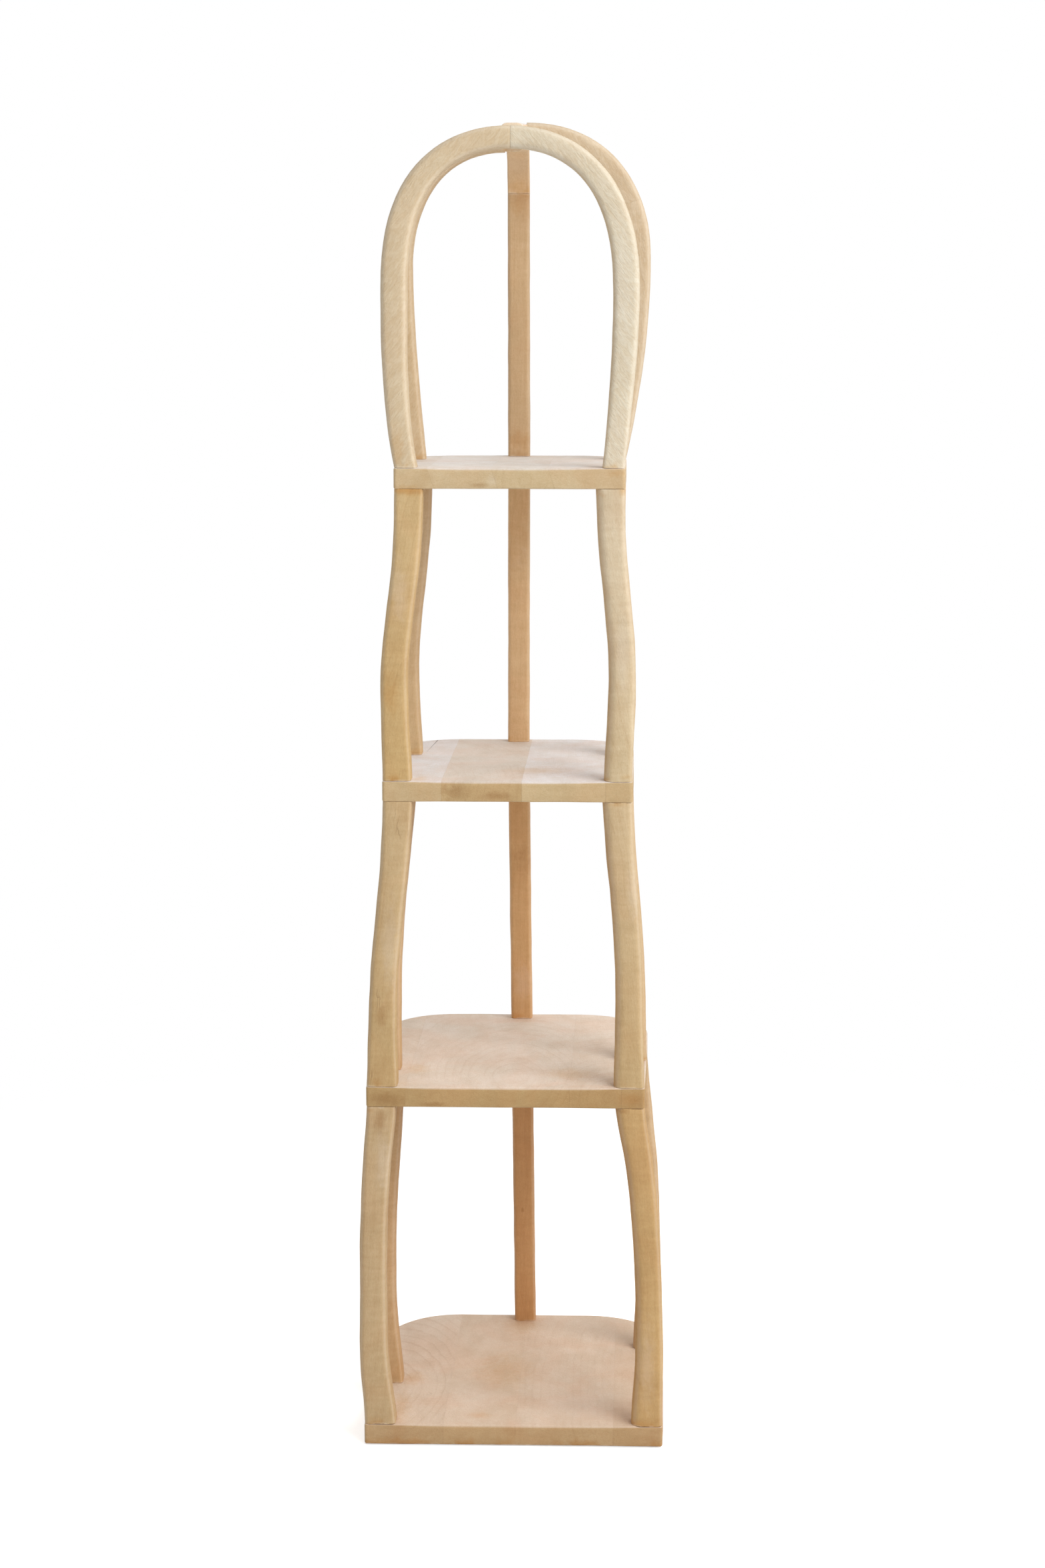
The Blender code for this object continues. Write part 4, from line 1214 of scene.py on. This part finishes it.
def sawn_wood(groups):
    """The whole figure of a piece of wood, mixed from the shared effects."""
    group, entry, leave = new_group(
        "Sawn wood",
        [
            ("Vector", "v", None), ("Place", "v", None), ("Normal", "v", None), ("Flat Axis", "v", (0, 1, 0)),
            ("Wood", "c", (0.6, 0.45, 0.25, 1)), ("Grain", "c", (0.74, 0.62, 0.5, 1)),
            ("Blush", "c", (1.0, 0.87, 0.8, 1)), ("Crack", "c", (0.13, 0.07, 0.03, 1)),
            ("Stain", "c", (0.88, 0.68, 0.42, 1)), ("Glue", "c", (0.86, 0.76, 0.62, 1)),
            ("Ring Spacing", "f", 0.006), ("Ring Wander", "f", 0.03), ("Rings", "f", 0.25),
            ("Streaks", "f", 0.3), ("Pores", "f", 0.3), ("Curl", "f", 0.5), ("Relief", "f", 0.2),
            ("Clouds", "f", 0.3),
            ("Cloud Scale", "f", 10.0), ("Shades", "f", 1.0), ("Cracks", "f", 0.1), ("Foot", "f", 0.0),
            ("Head", "f", 1.0), ("Foot Line", "f", FAINT_LINE), ("Head Line", "f", FAINT_LINE),
            ("Wear", "f", 0.3),
        ],
        [("Colour", "c"), ("Roughness", "f"), ("Height", "f")],
    )
    rings = use_group(
        group, groups["rings"],
        {"Vector": entry["Vector"], "Spacing": entry["Ring Spacing"], "Wander": entry["Ring Wander"]},
    )["Mask"]
    fibres = use_group(group, groups["fibres"], {"Vector": entry["Vector"]})
    clouds = use_group(
        group, groups["mottling"],
        {"Place": entry["Place"], "Vector": entry["Vector"], "Scale": entry["Cloud Scale"]},
    )
    cracks = use_group(group, groups["cracks"], {"Vector": entry["Vector"], "Amount": entry["Cracks"]})
    cracks = times(group, cracks["Mask"], smooth_step(group, entry["Cracks"], 0.0, 0.05))
    joints = use_group(
        group, groups["joints"],
        {key: entry[key] for key in ("Place", "Foot", "Head", "Foot Line", "Head Line")},
    )
    wear = use_group(group, groups["wear"], {"Normal": entry["Normal"], "Axis": entry["Flat Axis"]})["Mask"]
    fine = noise(group, entry["Place"], 210.0, 3.0)

    colour = tinted(group, times(group, clouds["Blush"], entry["Clouds"]), entry["Wood"], entry["Blush"])
    tone = mix_colour(group, clouds["Shade"], PALE_SHADE, DARK_SHADE)
    colour = tinted(group, entry["Shades"], colour, tone)
    for mask, strength in ((rings, "Rings"), (fibres["Streaks"], "Streaks"), (fibres["Pores"], "Pores")):
        colour = tinted(group, times(group, mask, entry[strength]), colour, entry["Grain"])
    curl = noise(group, stretched(group, entry["Place"], (0.42, 1, 1)), 390.0, 3.0, 0.65, 1.1)
    curl = times(group, smooth_step(group, curl, 0.36, 0.64), entry["Curl"])
    colour = tinted(group, curl, colour, RELIEF_TINT)
    relief = noise(group, stretched(group, entry["Vector"], (1, 1, 0.28)), 185.0, 2.5, 0.5, 1.4)
    relief = times(group, smooth_step(group, relief, 0.42, 0.60), entry["Relief"])
    colour = tinted(group, relief, colour, RELIEF_TINT)
    speckle = noise(group, stretched(group, entry["Vector"], (1, 1, 0.45)), 620.0, 3.0, 0.7)
    speckle = smooth_step(group, speckle, 0.36, 0.64, 0.0, 0.5)
    colour = tinted(group, speckle, colour, SPECKLE_TINT)
    # Painted highlight: the rounded edges turn pale
    pale = mix_colour(group, RIM_HIGHLIGHT_SHARE, colour, RIM_HIGHLIGHT_WOOD)
    colour = mix_colour(group, times(group, wear, entry["Wear"]), colour, pale)
    # Glue stain and painted contact shade near the joints
    colour = tinted(group, times(group, joints["Stain"], STAIN_AND_SHADE_SHARE), colour, entry["Stain"])
    colour = mix_colour(group, times(group, joints["Glue"], GLUE_SHARE), colour, entry["Glue"])
    dark = maths(group, "MAXIMUM", times(group, cracks, CRACK_SHARE), joints["Line"])
    colour = mix_colour(group, dark, colour, entry["Crack"])
    group.links.new(colour, leave["Colour"])

    rough = maths(group, "MULTIPLY_ADD", fibres["Streaks"], 0.08, 0.56)
    rough = maths(group, "MULTIPLY_ADD", fine, 0.1, rough)
    group.links.new(rough, leave["Roughness"])

    height = 0.8
    for mask, rise in (
        (fibres["Streaks"], -0.35), (fibres["Pores"], -0.5), (rings, -0.25), (dark, -0.9), (fine, 0.25),
        (curl, -0.4), (relief, -0.6),
    ):
        height = maths(group, "MULTIPLY_ADD", mask, rise, height)
    group.links.new(height, leave["Height"])
    return group


def build_effects():
    """Make every shared effect once."""
    groups = {
        "rings": growth_rings(),
        "fibres": wood_fibres(),
        "mottling": mottling(),
        "cracks": drying_cracks(),
        "joints": joint_marks(),
        "wear": rounded_edge_highlight(),
        "boards": glued_boards(),
        "mark": mark(),
    }
    groups["wood"] = sawn_wood(groups)
    return groups


EFFECTS = {}


def effects():
    """The shared effects, made when they are first asked for."""
    if not EFFECTS:
        EFFECTS.update(build_effects())
    return EFFECTS


def rgba(colour, factor=1.0):
    """A colour with full alpha, lighter or darker by a factor."""
    return (*(min(part * factor, 1) for part in colour), 1)


def new_material(name):
    """An empty finish with its Principled shader."""
    material = bpy.data.materials.new(name)
    material.use_nodes = True
    tree = material.node_tree
    shader = tree.nodes["Principled BSDF"]
    shader.inputs["Metallic"].default_value = 0
    shader.inputs["IOR"].default_value = 1.45
    shader.inputs["Specular IOR Level"].default_value = 0.35
    return material, tree, shader


def wood_finish(
    name, wood, values, turn=(0, 0, 0), pith=(0.05, 0.04, 0), flat_axis=(0, 1, 0), boards=None, top=None,
    painted_side_shade=False, painted_foot_shade=False,
):
    """A wood finish, with its fibres turned to a direction and its pith at a place beside the piece.

    The upper face may have a colour of its own, partly painted sheen; one side may be browned as painted
    shade where it turns from the lamp; and painted shade at the foot may leave the wood paler upwards.
    """
    colours = bpy.context.scene.shelf_colours
    material, tree, shader = new_material(name + "_finish")
    place = add_node(tree, "TexCoord").outputs["Object"]
    normal = add_node(tree, "NewGeometry").outputs["Normal"]
    vector = place
    laid = None
    if boards:
        laid = use_group(tree, effects()["boards"], {"Place": place, **boards})
        vector = laid["Vector"]
    mapping = add_node(
        tree, "Mapping", {"Vector": vector, "Location": pith, "Rotation": turn}, vector_type="TEXTURE"
    )
    body = rgba(wood)
    # The upper face's own colour, paler than the sides partly as painted sheen
    if top is not None:
        up = smooth_step(tree, add_node(tree, "SeparateXYZ", {0: normal}).outputs["Z"], 0.35, 0.9)
        body = mix_colour(tree, up, body, rgba(top))
    # Painted shade: darker and warmer towards the foot, paler towards the head
    if painted_foot_shade:
        level = add_node(tree, "SeparateXYZ", {0: place}).outputs["Z"]
        rise = smooth_step(tree, level, values["Foot"], values["Head"])
        body = tinted(tree, 1.0, body, mix_colour(tree, rise, rgba(FOOT_PAINTED_SHADE), rgba(HEAD_TINT)))
    # Painted shade: the side turned away from the lamp is darkened and browned
    if painted_side_shade:
        side_on = vector_maths(tree, "DOT_PRODUCT", normal, PAINTED_SHADE_SIDE, output=1)
        share = smooth_step(tree, side_on, 0.35, 0.85, 0.0, PAINTED_SHADE_STRENGTH)
        body = tinted(tree, share, body, rgba(colours.stain))
    if laid:
        body = tinted(tree, laid["Shade"], body, BROWN_BOARD_TINT)
    inputs = {
        "Vector": mapping.outputs[0], "Place": place, "Normal": normal, "Flat Axis": flat_axis,
        "Wood": body, "Grain": rgba(colours.grain), "Blush": rgba(colours.blush),
        "Glue": rgba(colours.glue), "Crack": rgba(colours.crack), "Stain": rgba(colours.stain), **values,
    }
    if laid:
        inputs["Rings"] = times(tree, laid["Rings"], values["Rings"])
    figure = use_group(tree, effects()["wood"], inputs)
    colour = figure["Colour"]
    height = figure["Height"]
    for kind, across, behind, up_to, *half in MARKS.get(name, ()):
        tint, blend, share = MARK_KINDS[kind]
        centre = (across, FRONT_Y + behind, up_to)
        mask = use_group(tree, effects()["mark"], {"Place": place, "Centre": centre, "Size": half})["Mask"]
        colour = mix_colour(tree, times(tree, mask, share), colour, rgba(getattr(colours, tint)), blend)
    if laid:
        line = times(tree, laid["Seam"], smooth_step(tree, up, 0.0, 1.0, 0.2, 0.05))
        colour = mix_colour(tree, line, colour, rgba(colours.crack))
        height = maths(tree, "MULTIPLY_ADD", line, -0.5, height)
    tree.links.new(colour, shader.inputs["Base Color"])
    tree.links.new(figure["Roughness"], shader.inputs["Roughness"])
    bump = add_node(tree, "Bump", {"Strength": 0.45, "Distance": 0.0006, "Height": height})
    tree.links.new(bump.outputs[0], shader.inputs["Normal"])
    return material


# Pieces


class SHELF_OT_panels(Operator):
    """Make the four shelf panels"""

    bl_idname = "display_shelf.panels"
    bl_label = "Shelf panels"

    def execute(self, context):
        colours = context.scene.shelf_colours
        for index, name in enumerate(SHELF_NAMES):
            panel = make_panel(index)
            low = shelf_bottom(index)
            seams, slant, hearts = BOARDS[index]
            boards = {"Slant": slant}
            for number, word in enumerate(BOARD_WORDS):
                if number < len(seams):
                    boards[word + " Seam"] = seams[number] + slant * low
                across, behind, brown, clear = hearts[number]
                boards[word + " Pith"] = (across, FRONT_Y + behind, shelf_top(index))
                boards[word + " Shade"] = brown
                boards[word + " Rings"] = clear
            joint = {"Foot": NO_FOOT if index else low, "Foot Line": SHELF_LINE, "Head": NO_HEAD}
            # Each shelf's upper face gets its own colour, partly painted sheen
            finish = wood_finish(
                name, getattr(colours, name + "_edge"), {**SHELF_FIGURE, **joint},
                turn=(math.radians(64), 0, 0), pith=(0, 0, 0), flat_axis=(0, 0, 1), boards=boards,
                top=getattr(colours, name),
            )
            finish_piece(panel, name, finish)
        return {"FINISHED"}


class SHELF_OT_legs(Operator):
    """Make the twelve sawn legs"""

    bl_idname = "display_shelf.legs"
    bl_label = "Sawn legs"

    def execute(self, context):
        legs = context.scene.shelf_legs
        colours = context.scene.shelf_colours
        for tier, tier_name in enumerate(TIER_NAMES):
            for line in ("front", "side"):
                for side in SIDES:
                    node = f"{tier_name}_{line}_{SIDE_WORDS[side]}_leg"
                    rings = leg_rings(line, side, tier)
                    leg = draw_bar(node + "_bar", rings, legs.thickness)
                    broad = BROAD_EDGE if side == RIGHT else None
                    round_bar(leg, rings, legs.rounding, legs.end_rounding, broad=broad)
                    foot = rings[0][0]
                    lean = math.radians(3 + 2 * tier)
                    figure = {
                        **LEG_FIGURE, "Foot": foot.z, "Head": rings[-1][0].z,
                        "Foot Line": FOOT_LINE if line == "front" and not tier else FAINT_LINE,
                        "Head Line": HEAD_LINE if side == RIGHT and tier < 2 else FAINT_LINE,
                    }
                    if node == CRACKED_LEG:
                        figure["Cracks"] = CRACKED_SHARE
                    # The right legs get painted shade on their left side, and legs above the lowest tier get
                    # painted shade at the foot
                    finish = wood_finish(
                        node, getattr(colours, node), figure, turn=(lean, -side * lean, 0),
                        pith=(foot.x + side * 0.045, foot.y + 0.03 + 0.01 * tier, 0),
                        painted_side_shade=side == RIGHT, painted_foot_shade=tier > 0,
                    )
                    finish_piece(leg, node, finish)
        return {"FINISHED"}


class SHELF_OT_post(Operator):
    """Make the four bars of the back post and the rafter"""

    bl_idname = "display_shelf.post"
    bl_label = "Back post and rafter"

    def execute(self, context):
        scene = context.scene
        panels, post, arches, colours = (
            scene.shelf_panels, scene.shelf_post, scene.shelf_arches, scene.shelf_colours
        )
        base_z = shelf_top(TOP) + JOINT_GAP
        seam_z = base_z + max(arches.side_heights) - post.rafter_rise
        for number, name in enumerate((*TIER_NAMES, "crown")):
            node = name + "_back_post"
            upper = min(number + 1, TOP)
            foot_y = FRONT_Y + panels.depths[number] - post.inset - post.thickness / 2
            head_y = FRONT_Y + panels.depths[upper] - post.inset - post.thickness / 2
            head_z = shelf_bottom(upper) - JOINT_GAP if number < TOP else seam_z - JOINT_GAP
            foot = Vector((post.offsets[number], foot_y, shelf_top(number) + JOINT_GAP))
            head = Vector((post.offsets[upper], head_y, head_z))
            rings = [
                (foot + (head - foot) * part / POST_STEPS, 0, post.width) for part in range(POST_STEPS + 1)
            ]
            bar = draw_bar(node + "_bar", rings, post.thickness)
            round_bar(bar, rings, post.rounding, post.rounding * POST_END_SHARE)
            finish = self.finish(node, getattr(colours, node), foot, head_z, number)
            finish_piece(bar, node, finish)
        rings = rafter_rings(base_z)
        rafter = draw_bar("rafter_bar", rings, post.width, upright=False)
        round_bar(
            rafter, rings, post.rounding * RAFTER_FACTOR, post.rounding * POST_END_SHARE, ends=(False, True),
            share_along=lambda place: 1 - smooth_share(place, *RAFTER_FADE),
        )
        foot = Vector((0, 0, seam_z))
        # The rafter's upper face takes the top shelf's colour, partly painted sheen
        finish = self.finish("rafter", colours.rafter, foot, NO_HEAD, len(SHELF_NAMES), colours.top_shelf)
        finish_piece(rafter, "rafter", finish)
        return {"FINISHED"}

    def finish(self, node, wood, foot, head_z, number, top=None):
        """Finish of one bar of the post."""
        return wood_finish(
            node, wood, {**POST_FIGURE, "Foot": foot.z, "Head": head_z}, top=top,
            turn=(math.radians(2), math.radians(1), 0),
            pith=(foot.x + 0.03 + 0.01 * number, foot.y + 0.05, 0),
        )


def arch_finish(node, wood, lean, pith, foot_z):
    """Finish of one piece of an arch, whose fibres lean across the curve."""
    # The right halves get painted shade on their left side
    return wood_finish(
        node, wood, {**ARCH_FIGURE, "Foot": foot_z, "Head": NO_HEAD}, turn=(0, lean, 0), pith=pith,
        painted_side_shade="right" in node,
    )


class SHELF_OT_front_arch(Operator):
    """Make both halves of the front arch"""

    bl_idname = "display_shelf.front_arch"
    bl_label = "Front arch"

    def execute(self, context):
        arches = context.scene.shelf_arches
        colours = context.scene.shelf_colours
        base_z = shelf_top(TOP) + JOINT_GAP
        for number, side in enumerate(SIDES):
            rings = arch_rings(
                side, 0, arches.front_height, arches.front_bulges[number], arches.front_belly,
                FRONT_ARCH_CURVES[number], side * JOINT_GAP / 2, base_z,
            )
            node = "front_arch_" + SIDE_WORDS[side]
            half = draw_bar(node + "_bar", rings, arches.thickness)
            round_bar(half, rings, arches.rounding, arches.rounding * ARCH_END_SHARE, ends=(True, False))
            lean = -side * FRONT_ARCH_LEAN
            pith = (side * 0.02, FRONT_Y + 0.05, base_z + 0.3)
            finish = arch_finish(node, getattr(colours, node), lean, pith, base_z)
            finish_piece(half, node, finish)
        return {"FINISHED"}


class SHELF_OT_side_arch(Operator):
    """Make the side arch, whose right half is jointed at the shoulder"""

    bl_idname = "display_shelf.side_arch"
    bl_label = "Side arch"

    def execute(self, context):
        scene = context.scene
        panels, legs, post, arches = (
            scene.shelf_panels, scene.shelf_legs, scene.shelf_post, scene.shelf_arches
        )
        base_z = shelf_top(TOP) + JOINT_GAP
        depth = arches.side_depth_share * panels.depths[TOP]
        rafter_side = post.width / 2 + JOINT_GAP
        belly_x = side_x(TOP, RIGHT, legs.inset, depth) + arches.side_bulges[1]
        seam_share, seam_rise = arches.seam_shares
        seam = Vector((belly_x * seam_share, 0, base_z + arches.side_heights[1] * seam_rise))
        rise = Vector((-math.sin(arches.seam_angle), 0, math.cos(arches.seam_angle)))
        self.make("side_arch_left", LEFT, depth, post.offsets[TOP] - rafter_side, base_z)
        seam_x = post.offsets[TOP] + rafter_side
        self.make("side_arch_right_leg", RIGHT, depth, seam_x, base_z, (seam, rise))
        self.make("side_arch_right_crook", RIGHT, depth, seam_x, base_z, (seam + rise * JOINT_GAP, -rise))
        return {"FINISHED"}

    def make(self, node, side, depth, seam_x, base_z, cut=None):
        """Draw one half of the side arch, and saw it off at a plane where one is given."""
        arches = bpy.context.scene.shelf_arches
        colours = bpy.context.scene.shelf_colours
        number = SIDES.index(side)
        rings = arch_rings(
            side, depth, arches.side_heights[number], arches.side_bulges[number], arches.side_belly,
            SIDE_ARCH_CURVES[number], seam_x, base_z,
        )
        half = draw_bar(node + "_bar", rings, arches.thickness)
        round_bar(half, rings, arches.rounding, arches.rounding * ARCH_END_SHARE, ends=(True, False))
        if cut:
            bpy.ops.object.mode_set(mode="EDIT")
            bpy.ops.mesh.select_all(action="SELECT")
            bpy.ops.mesh.bisect(plane_co=cut[0], plane_no=cut[1], use_fill=True, clear_outer=True)
            bpy.ops.object.mode_set(mode="OBJECT")
        lean = -side * (ARCH_LEG_LEAN if node == "side_arch_right_leg" else SIDE_ARCH_LEAN)
        pith = (side * 0.05, FRONT_Y + depth + 0.06, base_z + 0.25)
        finish = arch_finish(node, getattr(colours, node), lean, pith, base_z)
        finish_piece(half, node, finish)


class SHELF_OT_small_parts(Operator):
    """Give the hidden dowels and the felt glides their finishes"""

    bl_idname = "display_shelf.small_parts"
    bl_label = "Dowels and glides"

    def execute(self, context):
        colours = context.scene.shelf_colours
        dowel_wood = wood_finish("dowel", colours.dowels, {**DOWEL_FIGURE, "Foot": NO_FOOT, "Head": NO_HEAD})
        felt = felt_finish(colours.felt)
        for name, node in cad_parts.items():
            if name.startswith("dowel_"):
                finish = dowel_wood
            elif name.startswith("glide_"):
                finish = felt
            else:
                continue
            node.data.materials.clear()
            node.data.materials.append(finish)
        return {"FINISHED"}


def felt_finish(colour):
    """Pressed felt with short matted hairs."""
    material, tree, shader = new_material("felt_finish")
    place = add_node(tree, "TexCoord").outputs["Object"]
    hairs = noise(tree, place, 1500.0, 4.0, 0.7, 1.5)
    lumps = noise(tree, place, 260.0, 2.0)
    shade = maths(tree, "MULTIPLY_ADD", lumps, 0.4, times(tree, hairs, 0.6))
    mixed = mix_colour(tree, smooth_step(tree, shade, 0.3, 0.7), rgba(colour, 0.7), rgba(colour, 1.35))
    tree.links.new(mixed, shader.inputs["Base Color"])
    tree.links.new(smooth_step(tree, hairs, 0.2, 0.8, 0.88, 1.0), shader.inputs["Roughness"])
    bump = add_node(tree, "Bump", {"Strength": 0.6, "Distance": 0.0004, "Height": shade})
    tree.links.new(bump.outputs[0], shader.inputs["Normal"])
    return material


# Stage


def add_lamp(name, place, aim, size, power):
    """A soft square lamp that points at a place."""
    data = bpy.data.lights.new(name, "AREA")
    data.shape = "SQUARE"
    data.size = size
    data.energy = power
    lamp = bpy.data.objects.new(name, data)
    lamp.location = place
    lamp.rotation_euler = (Vector(aim) - Vector(place)).to_track_quat("-Z", "Y").to_euler()
    bpy.context.scene.collection.objects.link(lamp)


class SHELF_OT_stage(Operator):
    """Make the floor, the lamps, the pale surroundings and the camera"""

    bl_idname = "display_shelf.stage"
    bl_label = "Studio stage"

    def execute(self, context):
        scene = context.scene
        self.lay_floor(scene.shelf_colours.floor)
        self.light(scene)
        self.stand_camera(scene)
        scene.view_settings.view_transform = "Standard"
        return {"FINISHED"}

    def lay_floor(self, colour):
        """A wide plain floor."""
        select_nothing()
        bpy.ops.mesh.primitive_plane_add(size=60)
        floor = bpy.context.active_object
        floor.name = "studio_floor"
        material, tree, shader = new_material("studio_floor_finish")
        seen = add_node(tree, "LightPath").outputs["Is Camera Ray"]
        glow = add_node(tree, "Emission", {"Color": (1, 1, 1, 1), "Strength": 0.57})
        white = add_node(tree, "Emission", {"Color": (1, 1, 1, 1), "Strength": 1.0})
        dull = add_node(tree, "BsdfDiffuse", {"Color": rgba(colour)})
        lit = add_node(tree, "AddShader", {0: dull.outputs[0], 1: glow.outputs[0]})
        place = add_node(tree, "TexCoord").outputs["Object"]
        away = smooth_step(tree, vector_maths(tree, "LENGTH", place, output=1), 0.5, 1.8)
        shown = add_node(tree, "MixShader", {0: away, 1: lit.outputs[0], 2: white.outputs[0]})
        both = add_node(tree, "MixShader", {0: seen, 1: dull.outputs[0], 2: shown.outputs[0]})
        tree.nodes.remove(shader)
        tree.links.new(both.outputs[0], tree.nodes["Material Output"].inputs["Surface"])
        floor.data.materials.append(material)

    def light(self, scene):
        """One soft lamp at a plain level, and white surroundings that light softly."""
        add_lamp("key_lamp", place=(3.2, -3.0, 4.3), aim=(0, 0, 0.9), size=3.4, power=205)
        world = bpy.data.worlds.new("studio_surroundings")
        scene.world = world
        world.use_nodes = True
        tree = world.node_tree
        tree.nodes.clear()
        path = add_node(tree, "LightPath").outputs
        seen = maths(tree, "MAXIMUM", path["Is Camera Ray"], path["Is Glossy Ray"])
        seen = maths(tree, "MAXIMUM", seen, path["Is Transmission Ray"])
        looks = add_node(tree, "TexCoord").outputs["Generated"]
        aside = add_node(tree, "SeparateXYZ", {0: looks}).outputs
        strength = smooth_step(tree, aside["X"], -0.8, 0.8, 0.40, 0.72)
        strength = maths(tree, "ADD", strength, smooth_step(tree, aside["Y"], -0.1, 0.8, 0.0, 0.45))
        soft = add_node(tree, "Background", {"Color": (1.0, 0.985, 0.965, 1), "Strength": strength})
        white = add_node(tree, "Background", {"Color": (1, 1, 1, 1), "Strength": 1.0})
        both = add_node(tree, "MixShader", {0: seen, 1: soft.outputs[0], 2: white.outputs[0]})
        leave = tree.nodes.new("ShaderNodeOutputWorld")
        tree.links.new(both.outputs[0], leave.inputs["Surface"])

    def stand_camera(self, scene):
        """The camera in front, a little to the right, at the height of a standing viewer."""
        data = bpy.data.cameras.new("shelf_camera")
        data.sensor_fit = "AUTO"
        data.sensor_width = 36
        data.lens = 62.76
        data.shift_x = -0.02987
        data.shift_y = -0.15379
        data.dof.use_dof = False
        data.clip_end = 100
        camera = bpy.data.objects.new("shelf_camera", data)
        camera.location = (0.1737, -3.8495, 1.5537)
        camera.rotation_euler = (math.radians(90 - 4.8), 0, math.radians(1.5))
        scene.collection.objects.link(camera)
        scene.camera = camera


class SHELF_PT_sidebar(Panel):
    """Lists the steps and their sizes"""

    bl_idname = "SHELF_PT_sidebar"
    bl_label = "Display shelf"
    bl_space_type = "VIEW_3D"
    bl_region_type = "UI"
    bl_category = "Display shelf"

    def draw(self, context):
        layout = self.layout
        for step in STEPS:
            layout.operator(step.bl_idname)
        for name in GROUPS:
            holder = getattr(context.scene, name)
            box = layout.box()
            for value in holder.__annotations__:
                box.prop(holder, value)


GROUPS = {
    "shelf_panels": PanelSizes,
    "shelf_legs": LegSizes,
    "shelf_post": PostSizes,
    "shelf_arches": ArchSizes,
    "shelf_colours": WoodColours,
}
STEPS = (
    SHELF_OT_panels,
    SHELF_OT_legs,
    SHELF_OT_post,
    SHELF_OT_front_arch,
    SHELF_OT_side_arch,
    SHELF_OT_small_parts,
    SHELF_OT_stage,
)


def register():
    """Register the property groups, the steps and the sidebar."""
    for name, group in GROUPS.items():
        bpy.utils.register_class(group)
        setattr(bpy.types.Scene, name, PointerProperty(type=group))
    for step in STEPS:
        bpy.utils.register_class(step)
    bpy.utils.register_class(SHELF_PT_sidebar)


def unregister():
    """Take back what register made."""
    bpy.utils.unregister_class(SHELF_PT_sidebar)
    for step in reversed(STEPS):
        bpy.utils.unregister_class(step)
    for name, group in reversed(GROUPS.items()):
        delattr(bpy.types.Scene, name)
        bpy.utils.unregister_class(group)


def main():
    """Build the shelf and its stage."""
    register()
    bpy.ops.display_shelf.panels()
    bpy.ops.display_shelf.legs()
    bpy.ops.display_shelf.post()
    bpy.ops.display_shelf.front_arch()
    bpy.ops.display_shelf.side_arch()
    bpy.ops.display_shelf.small_parts()
    bpy.ops.display_shelf.stage()


if __name__ == "__main__":
    main()
